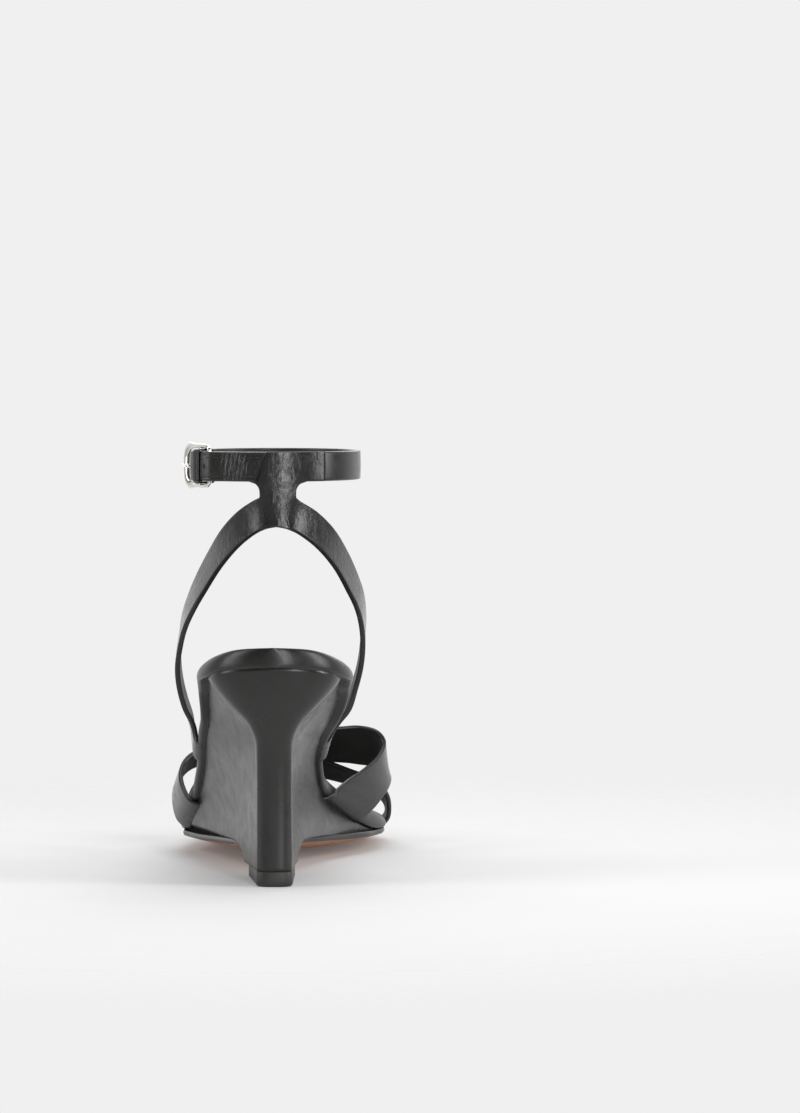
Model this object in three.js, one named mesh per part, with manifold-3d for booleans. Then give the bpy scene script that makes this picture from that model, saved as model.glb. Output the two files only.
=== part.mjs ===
// Wedge sandal for a left foot, in millimetres. +X is the inner side of the foot,
// +Y runs from heel to toe, +Z is up. The origin lies on the ground under the middle of the heel tip,
// and the pieces are drawn from the back of the tip, TIP_MIDDLE_Y behind it.
import * as THREE from 'three';
import { mergeVertices } from 'three/addons/utils/BufferGeometryUtils.js';
import Module from 'manifold-3d';

const wasm = await Module();
wasm.setup();

const V = (x, y, z) => new THREE.Vector3(x, y, z);
const GAP = 0.3;
const TIP_MIDDLE_Y = 17;

// ---------------------------------------------------------------- helpers

// Smooth function through [position, value] knots, held constant past both ends.
function smooth(knots) {
  const slope = (i) => {
    const a = knots[Math.max(i - 1, 0)];
    const b = knots[Math.min(i + 1, knots.length - 1)];
    return (b[1] - a[1]) / (b[0] - a[0]);
  };
  return (at) => {
    if (at <= knots[0][0]) return knots[0][1];
    const last = knots[knots.length - 1];
    if (at >= last[0]) return last[1];
    const i = knots.findIndex((knot) => knot[0] > at) - 1;
    const [x0, y0] = knots[i];
    const [x1, y1] = knots[i + 1];
    const span = x1 - x0;
    const t = (at - x0) / span;
    const rise = t * t * (3 - 2 * t);
    const start = t * (1 - t) * (1 - t) * slope(i) * span;
    const end = t * t * (t - 1) * slope(i + 1) * span;
    return y0 + (y1 - y0) * rise + start + end;
  };
}

function fromTriangles(points, triangles) {
  const geometry = new THREE.BufferGeometry();
  const flat = points.flatMap((p) => [p.x, p.y, p.z]);
  geometry.setAttribute('position', new THREE.Float32BufferAttribute(flat, 3));
  geometry.setIndex(triangles.flat());
  return geometry;
}

// Closed solid through a stack of rings that all have the same number of points.
function loft(rings) {
  const n = rings[0].length;
  const points = rings.flat();
  const triangles = [];
  for (let i = 0; i + 1 < rings.length; i += 1) {
    for (let j = 0; j < n; j += 1) {
      const a = i * n + j;
      const b = i * n + ((j + 1) % n);
      triangles.push([a, b, b + n], [a, b + n, a + n]);
    }
  }
  for (const [start, flip] of [[0, true], [(rings.length - 1) * n, false]]) {
    const ring = rings[start / n];
    const middle = ring.reduce((sum, p) => sum.add(p), V(0, 0, 0)).divideScalar(n);
    points.push(middle);
    for (let j = 0; j < n; j += 1) {
      const edge = [start + j, start + ((j + 1) % n), points.length - 1];
      triangles.push(flip ? edge.reverse() : edge);
    }
  }
  return outward(fromTriangles(points, triangles));
}

// Closed ring-shaped solid: the last section joins the first.
function loopLoft(rings) {
  const n = rings[0].length;
  const count = rings.length;
  const triangles = [];
  for (let i = 0; i < count; i += 1) {
    for (let j = 0; j < n; j += 1) {
      const next = ((i + 1) % count) * n;
      const k = (j + 1) % n;
      triangles.push([i * n + j, i * n + k, next + k], [i * n + j, next + k, next + j]);
    }
  }
  return outward(fromTriangles(rings.flat(), triangles));
}

// Turns every triangle round when the signed volume says that they face inwards.
function outward(geometry) {
  const at = geometry.attributes.position;
  const index = Array.from(geometry.index.array);
  let volume = 0;
  for (let i = 0; i < index.length; i += 3) {
    const [a, b, c] = [0, 1, 2].map((k) => V().fromBufferAttribute(at, index[i + k]));
    volume += a.dot(b.cross(c));
  }
  if (volume < 0) geometry.setIndex(index.reverse());
  return geometry;
}

function solid(geometry) {
  const bare = new THREE.BufferGeometry();
  bare.setAttribute('position', geometry.attributes.position.clone());
  if (geometry.index) bare.setIndex(geometry.index.clone());
  const merged = mergeVertices(bare, 1e-4);
  const mesh = new wasm.Mesh({
    numProp: 3,
    vertProperties: new Float32Array(merged.attributes.position.array),
    triVerts: new Uint32Array(merged.index.array),
  });
  return new wasm.Manifold(mesh);
}

function geometryOf(manifold) {
  const mesh = manifold.getMesh();
  const geometry = new THREE.BufferGeometry();
  const points = new THREE.Float32BufferAttribute(Array.from(mesh.vertProperties), 3);
  geometry.setAttribute('position', points);
  geometry.setIndex(Array.from(mesh.triVerts));
  return geometry;
}

function cut(geometry, ...tools) {
  return geometryOf(tools.reduce((rest, tool) => rest.subtract(solid(tool)), solid(geometry)));
}

function join(...parts) {
  return geometryOf(parts.map(solid).reduce((sum, part) => sum.add(part)));
}

// An open sheet made of grids of points that share their edges.
class Sheet {
  constructor() {
    this.points = [];
    this.triangles = [];
    this.found = new Map();
  }

  add(point) {
    const key = point.toArray().map((v) => Math.round(v * 1000)).join(',');
    if (!this.found.has(key)) {
      this.found.set(key, this.points.length);
      this.points.push(point.clone());
    }
    return this.found.get(key);
  }

  // Adds a grid of points, with its faces turned to look away from the middle given.
  grid(rows, middle) {
    const facing = (i, j) => {
      const [a, b, c] = [rows[i][j], rows[i][j + 1], rows[i + 1][j]];
      return b.clone().sub(a).cross(c.clone().sub(a)).dot(a.clone().sub(middle));
    };
    const sum = rows.slice(1).flatMap((row, i) => row.slice(1).map((_, j) => facing(i, j)))
      .reduce((total, value) => total + value);
    const turned = sum < 0 ? rows.map((row) => [...row].reverse()) : rows;
    const ids = turned.map((row) => row.map((point) => this.add(point)));
    for (let i = 0; i + 1 < ids.length; i += 1) {
      for (let j = 0; j + 1 < ids[i].length; j += 1) {
        const [a, b, c, d] = [ids[i][j], ids[i][j + 1], ids[i + 1][j + 1], ids[i + 1][j]];
        for (const face of [[a, b, c], [a, c, d]]) {
          if (new Set(face).size === 3) this.triangles.push(face);
        }
      }
    }
    return this;
  }

  normals() {
    const sums = this.points.map(() => V(0, 0, 0));
    for (const [a, b, c] of this.triangles) {
      const side = this.points[b].clone().sub(this.points[a]);
      const face = side.cross(this.points[c].clone().sub(this.points[a]));
      for (const id of [a, b, c]) sums[id].add(face);
    }
    return sums.map((sum) => sum.normalize());
  }

  // Solid between two distances from the sheet, with a wall round every free edge.
  thick(low, high) {
    const normals = this.normals();
    const n = this.points.length;
    const shifted = (by) => this.points.map((p, i) => p.clone().addScaledVector(normals[i], by));
    const edges = new Map();
    for (const [a, b, c] of this.triangles) {
      for (const [p, q] of [[a, b], [b, c], [c, a]]) {
        if (!edges.delete(`${q},${p}`)) edges.set(`${p},${q}`, [p, q]);
      }
    }
    const triangles = this.triangles.map(([a, b, c]) => [a + n, b + n, c + n]);
    for (const [a, b, c] of this.triangles) triangles.push([c, b, a]);
    for (const [p, q] of edges.values()) {
      triangles.push([p, q, q + n], [p, q + n, p + n]);
    }
    return outward(fromTriangles([...shifted(low), ...shifted(high)], triangles));
  }
}

const range = (count) => Array.from({ length: count + 1 }, (_, i) => i / count);
const mix = (a, b, t) => a.clone().lerp(b, t);

function rod(from, to, radius, sides = 16) {
  const length = from.distanceTo(to);
  const geometry = new THREE.CylinderGeometry(radius, radius, length, sides);
  const turn = new THREE.Quaternion().setFromUnitVectors(V(0, 1, 0), to.clone().sub(from).normalize());
  const middle = mix(from, to, 0.5);
  return geometry.applyQuaternion(turn).translate(middle.x, middle.y, middle.z);
}

// ---------------------------------------------------------------- footbed outline and profile

const HEEL_CENTRE_Y = 17;
const HEEL_RADIUS_Y = 31;
const TOE_START_Y = 166;
const TOE_DEPTH = 46;
const OVERHANG = 2.3;

const centreX = smooth([[17, 0], [40, -1.5], [60, -6], [78, -7.8], [100, -7.9], [125, -3.2], [142, 0.2], [165, 2.8],
  [190, 6.5], [212, 8.5]]);
const halfWidth = smooth([[17, 30.7], [35, 29.8], [50, 27.2], [68, 25.6], [80, 25.6], [100, 28.6], [125, 38.6],
  [142, 42.2], [158, 40.8], [165, 40], [190, 37], [212, 34]]);
const topZ = smooth([[-14, 94.3], [-6.5, 92.9], [2, 89], [22, 83.5], [50, 66.5], [75, 50], [100, 34], [125, 20.5], [150, 13.5],
  [175, 11.5], [200, 12.3], [213, 14.2]]);
const bottomZ = smooth([[-14, 87.2], [2, 82.8], [30, 75], [47, 60.5], [60, 52], [75, 42], [93, 29.5], [112, 18],
  [122, 13], [133, 9.8], [150, 8.9], [175, 7.3], [200, 7.8], [213, 9.6]]);

function endRound(y, inset) {
  if (y < HEEL_CENTRE_Y) {
    const t = (HEEL_CENTRE_Y - y) / (HEEL_RADIUS_Y - inset);
    return Math.sqrt(Math.max(1 - t * t, 0));
  }
  const t = Math.max(y - TOE_START_Y, 0) / (TOE_DEPTH - inset);
  return Math.max(1 - t ** 2.2, 0) ** (1 / 2.2);
}

const half = (y, inset) => (halfWidth(y) - inset) * endRound(y, inset);

// Stations along the foot, closer together where the ends turn round.
function stations(inset, count) {
  const start = HEEL_CENTRE_Y - HEEL_RADIUS_Y + inset + 0.05;
  const end = TOE_START_Y + TOE_DEPTH - inset - 0.05;
  return range(count).map((t) => start + ((end - start) * (1 - Math.cos(Math.PI * t))) / 2);
}

// Section of a footbed layer between two heights, with its outer corners rounded.
function layerRing(y, inset, low, high, corner) {
  const w = half(y, inset);
  const c = centreX(y);
  const tall = high - low;
  const r = Math.min(corner, tall / 2, w * 0.7);
  const side = [];
  for (const t of range(6)) {
    const angle = Math.PI * (0.5 - t);
    side.push([w - r + r * Math.cos(angle), (low + high) / 2 + (tall / 2 - r) * Math.sign(0.5 - t) + r * Math.sin(angle)]);
  }
  side.push([0, low]);
  const right = [[0, high], ...side];
  const left = side.slice(0, -1).reverse().map(([x, z]) => [-x, z]);
  return [...right, ...left].map(([x, z]) => V(c + x, y, z));
}

function footbedLayer(inset, low, high, corner, count = 28) {
  return loft(stations(inset, count).map((y) => layerRing(y, inset, low(y), high(y), corner)));
}

const SKIN = 1;
const BOARD = 1.9;

function footbedCover() {
  const shell = footbedLayer(0, bottomZ, topZ, 3.4);
  const inside = footbedLayer(SKIN, (y) => bottomZ(y) - 3, (y) => topZ(y) - SKIN, 0.8);
  return cut(shell, inside);
}

function insoleBoard() {
  return footbedLayer(SKIN + GAP, bottomZ, (y) => bottomZ(y) + BOARD, 0.4);
}

function footbedFoam() {
  return footbedLayer(SKIN + GAP, (y) => bottomZ(y) + BOARD + GAP, (y) => topZ(y) - SKIN - GAP, 1.7);
}

// ---------------------------------------------------------------- outsole

const SOLE_START_Y = 35.4;
const SOLE_THICK = 2.2;
const soleLeft = smooth([[35, -11.2], [50, -16.7], [75, -24.5], [115, -36.5], [132, -41.3]]);
const soleRight = smooth([[35, 7.2], [60, 7.4], [72, 10.5], [85, 16.5], [105, 26.5], [125, 36.6], [140, 41]]);
const soleEdgeZ = smooth([[34, 6.4], [40, 9], [50, 11.4], [62, 10.6], [75, 9.8], [105, 7.8], [132, 6.6], [150, 6.2],
  [175, 4.6], [200, 5.2], [213, 6.8]]);
const soleMiddleZ = smooth([[34, 6.4], [40, 8.4], [50, 10], [62, 8.6], [75, 7.2], [100, 4.2], [125, 1.6], [148, 0.3],
  [162, 0], [176, 0.4], [195, 2.6], [213, 6.2]]);

function soleSides(y, inset) {
  const forward = [centreX(y) - half(y, inset + 0.6), centreX(y) + half(y, inset + 0.6)];
  const blend = THREE.MathUtils.smoothstep(y, 122, 142);
  const left = THREE.MathUtils.lerp(soleLeft(y) + inset, forward[0], blend);
  const right = THREE.MathUtils.lerp(soleRight(y) - inset, forward[1], blend);
  return [left, right];
}

// Height of the sole's underside: a dome across the foot, lowest along the middle.
function soleZ(x, y) {
  const [left, right] = soleSides(y, 0);
  const t = Math.min(Math.abs((2 * x - left - right) / (right - left)), 1);
  return soleMiddleZ(y) + (soleEdgeZ(y) - soleMiddleZ(y)) * t ** 2.2;
}

function soleRing(y, inset, low, high) {
  const [left, right] = soleSides(y, inset);
  const across = range(10).map((t) => left + ((right - left) * (1 - Math.cos(Math.PI * t))) / 2);
  const under = across.map((x) => V(x, y, low(x, y)));
  const over = across.map((x) => V(x, y, high(x, y)));
  return [...under, ...over.reverse()];
}

function soleStations(inset) {
  const end = TOE_START_Y + TOE_DEPTH - inset - 0.7;
  const turn = range(12).map((t) => 150 + (end - 150) * Math.sin((Math.PI / 2) * t));
  const rear = [SOLE_START_Y, 38, 42, 46, 51, 57, 64, 72, 82, 92, 102, 112, 122, 131, 141];
  return [...rear, ...turn];
}

function outsole() {
  return loft(soleStations(0).map((y) => soleRing(y, 0, soleZ, (x, z) => soleZ(x, z) + SOLE_THICK)));
}

// Cork that fills the dome between the outsole and the insole board in front of the wedge.
const FILLER_START_Y = 134;
function forefootFiller() {
  const rows = soleStations(4).filter((y) => y > FILLER_START_Y);
  const low = (x, y) => soleZ(x, y) + SOLE_THICK + GAP;
  const high = (x, y) => Math.max(bottomZ(y) - GAP, low(x, y) + 0.3);
  return loft(rows.map((y) => soleRing(y, 4, low, high)));
}

// ---------------------------------------------------------------- wedge

const TIP_TALL = 6;
const TIP_FRONT_Y = 34.8;
const backHalf = smooth([[0, 7.1], [55, 7.2], [60, 8.5], [65, 11.5], [70, 16.5], [75, 21.5], [80, 25.5], [87, 28.2]]);
const backDepth = smooth([[0, 5], [50, 5.2], [60, 7], [70, 12], [78, 20], [87, 28]]);
const backY = smooth([[0, 0], [30, -0.4], [50, -2], [62, -5], [74, -9], [87, -11.7]]);
const frontY = smooth([[0, 136], [9.8, 133], [13, 122], [18, 112], [29.5, 93], [42, 75], [52, 60], [60.5, 47], [75, 34],
  [90, 34]]);
const edgeLeft = (y) => centreX(y) - half(y, OVERHANG);
const edgeRight = (y) => centreX(y) + half(y, OVERHANG);

function wedgeRing(z, inset) {
  const y1 = frontY(z) + 2;
  const w = backHalf(z) - inset;
  const rear = backY(z) + inset;
  const shoulder = backY(z) + backDepth(z);
  const low = 1 - THREE.MathUtils.smoothstep(z, 20, 70);
  const sides = [[edgeLeft(y1) + inset, -w, 0.5], [edgeRight(y1) - inset, w, 0.12 + 0.25 * (1 - low)]];
  const flanks = sides.map(([front, back, bulge]) => {
    const bend = V(back + (front - back) * (bulge - 0.14 * low), shoulder + (y1 - shoulder) * 0.52, z);
    return new THREE.QuadraticBezierCurve3(V(front, y1, z), bend, V(back, shoulder, z));
  });
  const round = range(10).slice(1, -1).map((t) => {
    const angle = Math.PI * t;
    const flat = (v) => Math.sign(v) * Math.abs(v) ** 0.75;
    return V(-w * flat(Math.cos(angle)), shoulder - (shoulder - rear) * flat(Math.sin(angle)), z);
  });
  return [...flanks[0].getPoints(7), ...round, ...flanks[1].getPoints(7).reverse()];
}

function wedgeBlock(inset, from, to) {
  const levels = Math.round((to - from) / 6);
  return loft(range(levels).map((t) => wedgeRing(from + (to - from) * t, inset)));
}

// Everything above the insole line, as a cutter.
function aboveWedge() {
  const rows = [-30, -14, -6, 2, 12, 22, 30, 38, 47, 54, 60, 68, 75, 84, 93, 102, 112, 122, 133, 145];
  return loft(rows.map((y) => {
    const z = bottomZ(y) - GAP;
    return [V(-70, y, z), V(70, y, z), V(70, y, 130), V(-70, y, 130)];
  }));
}

// Everything below the wedge: the outsole from the arch forward.
function belowWedge() {
  const rows = [TIP_FRONT_Y + 0.1, ...soleStations(0).slice(1).filter((y) => y < 150)];
  return loft(rows.map((y) => {
    const across = range(14).map((t) => -70 + 140 * t);
    const roof = across.map((x) => V(x, y, soleZ(x, y) + SOLE_THICK + 2.4 * GAP));
    return [...roof, V(70, y, -20), V(-70, y, -20)];
  }));
}

const frontWall = (back) => new THREE.BoxGeometry(140, 30, 60).translate(0, FILLER_START_Y - back + 15, 10);
const COVER = 1.2;

function wedgeCover() {
  const outer = wedgeBlock(0, TIP_TALL + GAP, 90);
  const inner = wedgeBlock(COVER, 0, 96);
  return cut(outer, inner, aboveWedge(), belowWedge(), frontWall(GAP));
}

function wedgeCore() {
  const block = wedgeBlock(COVER + GAP, TIP_TALL + GAP, 90);
  return cut(block, aboveWedge(), belowWedge(), frontWall(4 * GAP));
}

function heelTopPiece() {
  const rows = [0, 0.6, 2, 4, TIP_TALL].map((z) => {
    const shrink = z < 0.5 ? 0.7 : 0;
    const w = 7.1 - shrink;
    const front = TIP_FRONT_Y - shrink;
    const round = range(12).map((t) => {
      const flat = (v) => Math.sign(v) * Math.abs(v) ** 0.7;
      return V(-w * flat(Math.cos(Math.PI * t)), 5 - (5 - shrink) * flat(Math.sin(Math.PI * t)), z);
    });
    return [V(-11 + shrink, front, z), ...round, V(7.3 - shrink, front, z)];
  });
  return loft(rows);
}

// ---------------------------------------------------------------- hidden fasteners

const SHANK_HALF = 5.5;
const SHANK_THICK = 1.3;

function shank(extra) {
  const rows = range(16).map((t) => 24 + 96 * t);
  return loft(rows.map((y) => {
    const c = centreX(y);
    const w = SHANK_HALF + extra;
    const high = bottomZ(y) - 2 * GAP + extra * 4;
    const low = bottomZ(y) - 2 * GAP - SHANK_THICK - extra;
    return [V(c - w, y, low), V(c + w, y, low), V(c + w, y, high), V(c - w, y, high)];
  }));
}

const RIVET_Y = [36, 108];
function shankRivet(y, extra) {
  const c = centreX(y);
  const z = bottomZ(y);
  return rod(V(c, y, z - SHANK_THICK - 2 * GAP - extra), V(c, y, z + BOARD - 1.6 + extra), 1.6 + extra);
}

const NAILS = [[-6, 4], [6, 4], [0, 16]];
const NAIL_LONG = 20;
function heelNail([x, y], extra) {
  const head = bottomZ(y) + BOARD - 0.4;
  const shaft = rod(V(x, y, head - NAIL_LONG - extra), V(x, y, head - 0.6), 1 + extra, 12);
  const cap = rod(V(x, y, head - 1 - extra), V(x, y, head + extra), 2.2 + extra, 16);
  return join(shaft, cap);
}

const TIP_PINS = [8, 26];
function tipPin(y, extra) {
  return rod(V(-0.6, y, 1.6 - extra), V(-0.6, y, 19 + extra), 1.4 + extra, 14);
}

// ---------------------------------------------------------------- toe straps

// Rails of each strap run from the inner-rear or outer-rear root to the opposite front root.
const strapA = {
  rear: [V(11, 96, 26.2), V(16.2, 96.5, 25.8), V(21.2, 98, 26.4), V(23.4, 101.5, 29), V(27.2, 108, 31.9),
    V(34.6, 117, 36), V(40.3, 124, 41), V(42.2, 128.5, 46.5), V(39.3, 130, 50.2), V(32.4, 132, 51.9),
    V(24, 136, 51.2), V(5, 144.5, 48.4), V(-15, 153.5, 42.2), V(-32, 161.5, 32), V(-40.4, 167.2, 20),
    V(-40.6, 169.5, 12.6), V(-36.6, 171, 7), V(-30, 172, 6.3)],
  front: [V(22, 124, 11.2), V(30, 124.5, 11), V(36, 126, 11.9), V(39.8, 129, 15.4), V(42.2, 134, 19.6),
    V(44.2, 140, 23.8), V(44.6, 145.5, 28), V(42.2, 150.5, 32), V(38, 154, 33.6), V(32.6, 157, 34.2),
    V(25.8, 160, 34.8), V(7, 167, 34.4), V(-10, 174.5, 30.6), V(-24, 180.5, 23.6), V(-30.6, 185, 16.4),
    V(-31, 187, 11.6), V(-27.6, 188, 7), V(-21, 188, 6.2)],
};
const strapB = {
  rear: [V(-26, 100.5, 23.4), V(-32.4, 100, 23), V(-37, 100.8, 24.6), V(-39.8, 104, 28.6), V(-41.3, 108.5, 33.4),
    V(-40, 115, 38.8), V(-35.7, 119, 42.4), V(-22, 127.5, 44.6), V(-5, 136, 43.4), V(12, 145, 38.4), V(27, 151.5, 32.2),
    V(38, 155, 27.4), V(43.2, 157, 21.6), V(44.4, 158, 16), V(43.8, 158.4, 11), V(39.6, 158.6, 7.4), V(33, 158.6, 6.9)],
  front: [V(-32, 124.5, 11), V(-38, 124.8, 10.7), V(-42.6, 126, 13), V(-44.9, 129, 19), V(-44.8, 132.5, 26.4),
    V(-41.2, 136.5, 32.4), V(-35, 140.5, 35.4), V(-22, 147.5, 36), V(-6, 156.5, 33.8), V(11, 166, 29),
    V(26, 172.5, 24.8), V(37.4, 177, 20.4), V(42.6, 180, 15.4), V(43.2, 181.4, 11.4), V(39.4, 182, 7.4),
    V(34, 182, 6.3), V(27, 182, 6.1)],
};

const FOOT_MIDDLE = V(0, 148, 12);
function strapSheet(rails, lengthSteps = 36, widthSteps = 3) {
  const [rear, front] = [rails.rear, rails.front].map((list) => new THREE.CatmullRomCurve3(list, false, 'centripetal'));
  const rows = range(lengthSteps).map((t) => {
    const a = rear.getPoint(t);
    const b = front.getPoint(t);
    return range(widthSteps).map((s) => mix(a, b, s));
  });
  return new Sheet().grid(rows, FOOT_MIDDLE);
}

const LEATHER = [0, 1];
const LINING = [-0.95, -GAP];
const POCKET = [-1.3, 1.35];

// Rails moved apart and made longer at both ends, for the pocket that a strap lies in.
function widened(rails, by) {
  const pairs = rails.rear.map((rear, i) => {
    const side = rails.front[i].clone().sub(rear).normalize().multiplyScalar(by);
    return [rear.clone().sub(side), rails.front[i].clone().add(side)];
  });
  const longer = (list) => {
    const beyond = (end, next) => end.clone().add(end.clone().sub(next).normalize().multiplyScalar(1.5 * by));
    const ends = [beyond(list[0], list[1]), beyond(list.at(-1), list.at(-2))];
    return [ends[0], ...list.slice(1, -1), ends[1]];
  };
  return { rear: longer(pairs.map((pair) => pair[0])), front: longer(pairs.map((pair) => pair[1])) };
}

const pockets = [strapA, strapB].map((rails) => strapSheet(widened(rails, 0.4)).thick(...POCKET));

// ---------------------------------------------------------------- ankle ring

const RING = { x: -0.3, y: 30, halfX: 32.8, halfY: 37 };
const BAND_LOW = 158.15;
const BAND_HIGH = 169.65;
const BAND_MID = (BAND_LOW + BAND_HIGH) / 2;
const ANKLE = V(RING.x, RING.y, BAND_MID);
const DEG = Math.PI / 180;

// Angle 0 is the back of the heel and 90 the outer side, where the buckle sits.
function onRing(angle, off, z) {
  const a = angle * DEG;
  return V(RING.x - (RING.halfX + off) * Math.sin(a), RING.y - (RING.halfY + off) * Math.cos(a), z);
}

const SEAM_ANGLE = -36;
const ARM_END = 47.5;
const BAR_ANGLE = 54;
const TAIL_CUT = 39.5;
const TAIL_TIP = 4;
const FRAME_OFF = 2.3;

const ringAngle = (x) => Math.asin((RING.x - x) / RING.halfX) / DEG;

// ---------------------------------------------------------------- heel sling

const HINGE = { y: 71, z: 55 };
const LEG_WIDTH = 12;
const STEM_X = 1.75;
const STEM_HALF = 7;
const STEM_BASE_Z = 152;

// Each station: middle x, half spread, y and z of the rear edge, then the way across to the front edge.
const legStations = [
  [1.25, 6.4, -6.4, 139.2, 0.16, 0.16, 0.96],
  [1.3, 11.6, -2.6, 135.9, 0.26, 0.42, 0.87],
  [1.35, 16.65, 3, 131.3, 0.36, 0.62, 0.7],
  [1.1, 23, 12.5, 123.3, 0.29, 0.77, 0.57],
  [0.55, 27.75, 21.5, 115.1, 0.24, 0.82, 0.52],
  [-0.1, 32.1, 30, 106.9, 0.15, 0.87, 0.47],
  [-1.2, 35.05, 38, 98.6, 0.06, 0.9, 0.43],
  [-2.2, 36.4, 45, 90.2, 0, 0.92, 0.39],
  [-3.3, 36.6, 51, 81.8, 0, 0.93, 0.37],
  [-4.1, 35.3, 56.6, 73.2, 0, 0.94, 0.34],
  [-5.1, 32.7, 61, 64.6, 0, 0.945, 0.32],
  [-6.1, 29.7, 63.8, 58.6, 0, 0.95, 0.31],
];
const HINGE_SPREAD = { middle: -7.5, half: 27.7 };

function legRails(side) {
  const rear = [V(1.2, onRing(0, 0, 0).y - 0.3, 140.6)];
  const front = [];
  for (const [middle, spread, y, z, wx, wy, wz] of legStations) {
    const at = V(middle + side * spread, y, z);
    const way = V(side * wx, wy, wz).normalize().multiplyScalar(LEG_WIDTH);
    rear.push(at);
    front.push(at.clone().add(way));
  }
  front.unshift(stemPoint(side, STEM_BASE_Z));
  return [rear, front].map((list) => new THREE.CatmullRomCurve3(list, false, 'centripetal'));
}

// Edge of the stem that joins the legs to the band, with a fillet into the band.
function stemPoint(side, z) {
  const fillet = 4;
  const over = Math.max(z - (BAND_LOW - fillet), 0);
  const flare = fillet - Math.sqrt(Math.max(fillet ** 2 - over ** 2, 0));
  const x = STEM_X + side * (STEM_HALF + flare);
  return onRing(ringAngle(x), 0, z);
}

// The last stretch of a leg lies in one upright plane and ends in a half circle about the hinge.
function legEnd(side, last) {
  const x = HINGE_SPREAD.middle + side * HINGE_SPREAD.half;
  const axis = V(x, HINGE.y, HINGE.z);
  return range(6).map((t) => {
    const reach = (LEG_WIDTH / 2) * Math.sin((Math.PI / 2) * t);
    const wide = (LEG_WIDTH / 2) * Math.cos((Math.PI / 2) * t);
    const down = V(0, 0.31, -0.95).normalize();
    const across = V(0, 0.95, 0.31).normalize();
    const middle = axis.clone().addScaledVector(down, reach);
    return range(last).map((s) => middle.clone().addScaledVector(across, (2 * s - 1) * Math.max(wide, 0.6)));
  });
}

function slingSheet() {
  const sheet = new Sheet();
  const widthSteps = 4;
  const stemSteps = 3;
  for (const side of [-1, 1]) {
    const [rear, front] = legRails(side);
    const baseMiddle = stemPoint(0, STEM_BASE_Z);
    const rows = [];
    for (const t of range(stemSteps)) {
      const x = STEM_X + side * STEM_HALF * t;
      const top = t === 1 ? stemPoint(side, STEM_BASE_Z) : onRing(ringAngle(x), 0, STEM_BASE_Z);
      const low = rear.getPoint((t * 0.9) / legStations.length);
      rows.push(range(widthSteps).map((s) => mix(low, t === 0 ? baseMiddle : top, s)));
    }
    const first = 0.9 / legStations.length;
    for (const t of range(26).slice(1)) {
      const a = rear.getPoint(first + (1 - first) * t);
      const b = front.getPoint(t);
      rows.push(range(widthSteps).map((s) => mix(a, b, s)));
    }
    rows.push(...legEnd(side, widthSteps));
    sheet.grid(rows, ANKLE);
  }
  const stemRow = (z) => range(2 * stemSteps).map((t) => {
    const [a, b] = [stemPoint(-1, z), stemPoint(1, z)];
    return onRing(ringAngle(a.x + (b.x - a.x) * t), 0, z);
  });
  const heights = range(3).map((t) => STEM_BASE_Z + (BAND_LOW - STEM_BASE_Z) * t);
  const bandHeights = range(2).slice(1).map((t) => BAND_LOW + (BAND_HIGH - BAND_LOW) * t);
  const middle = [...heights, ...bandHeights].map(stemRow);
  sheet.grid(middle, ANKLE);
  for (const [from, to] of [[SEAM_ANGLE, null], [null, ARM_END]]) {
    const inner = from === null ? stemPoint(-1, BAND_LOW) : stemPoint(1, BAND_LOW);
    const edge = ringAngle(inner.x);
    const angles = range(from === null ? 9 : 4).map((t) => (from === null ? edge + (to - edge) * t : edge + (from - edge) * t));
    const rows = [BAND_LOW, ...bandHeights].map((z) => angles.map((angle) => onRing(angle, 0, z)));
    sheet.grid(rows, ANKLE);
  }
  return sheet;
}

// Lasted tab that carries a sling leg: it goes down beside the footbed and in under the board.
function anchorTab(side) {
  const x = HINGE_SPREAD.middle + side * HINGE_SPREAD.half;
  const down = V(0, 0.31, -0.95).normalize();
  const across = V(0, 0.95, 0.31).normalize();
  const axis = V(x, HINGE.y, HINGE.z);
  const reach = LEG_WIDTH / 2 + 0.5;
  const foot = (y) => bottomZ(y) - 1.7;
  const columns = range(10).map((s) => {
    const angle = Math.PI * (0.22 + 0.56 * s);
    const top = axis.clone().addScaledVector(down, reach * Math.sin(angle)).addScaledVector(across, -reach * Math.cos(angle));
    const y = top.y + 3 + 2 * s;
    const points = [top, mix(top, V(x, y, foot(y) + 1.6), 0.6)];
    points.push(V(x - side * 0.4, y, foot(y) + 0.5), V(x - side * 2, y, foot(y)));
    points.push(V(x - side * 5, y, foot(y) + 0.1), V(x - side * 9, y, foot(y) + 0.1));
    return points;
  });
  return new Sheet().grid(columns, V(HINGE_SPREAD.middle, HINGE.y, HINGE.z));
}

// ---------------------------------------------------------------- ankle strap

const strapOff = smooth([[26, 2.3], [33, 3], [39.5, 4.8], [43, 5.2], [47, 5.35], [56, 5.4], [62, 3.2], [69, 0], [90, 0]]);

function strapGrid(from, to, steps) {
  const heights = range(2).map((t) => BAND_LOW + (BAND_HIGH - BAND_LOW) * t);
  const rows = heights.map((z) => range(steps).map((t) => {
    const angle = from + (to - from) * t;
    return onRing(angle, strapOff(angle), z);
  }));
  return new Sheet().grid(rows, ANKLE);
}

function prongSlot() {
  return boxAtBar(1.8, 4, 6.8, 6, 2.4);
}

function ankleStrap(low, high) {
  return cut(strapGrid(TAIL_CUT, 360 + SEAM_ANGLE - 0.6, 64).thick(low, high), prongSlot());
}

function strapTail(low, high) {
  const heights = range(2);
  const lowest = BAND_LOW;
  const rows = heights.map((t) => {
    const z = lowest + (BAND_HIGH - lowest) * t;
    const tip = TAIL_TIP + 7 * (1 - t);
    return range(16).map((s) => {
      const angle = tip + (TAIL_CUT - 0.7 - tip) * s;
      return onRing(angle, strapOff(angle), z);
    });
  });
  return new Sheet().grid(rows, ANKLE).thick(low, high);
}

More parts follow.
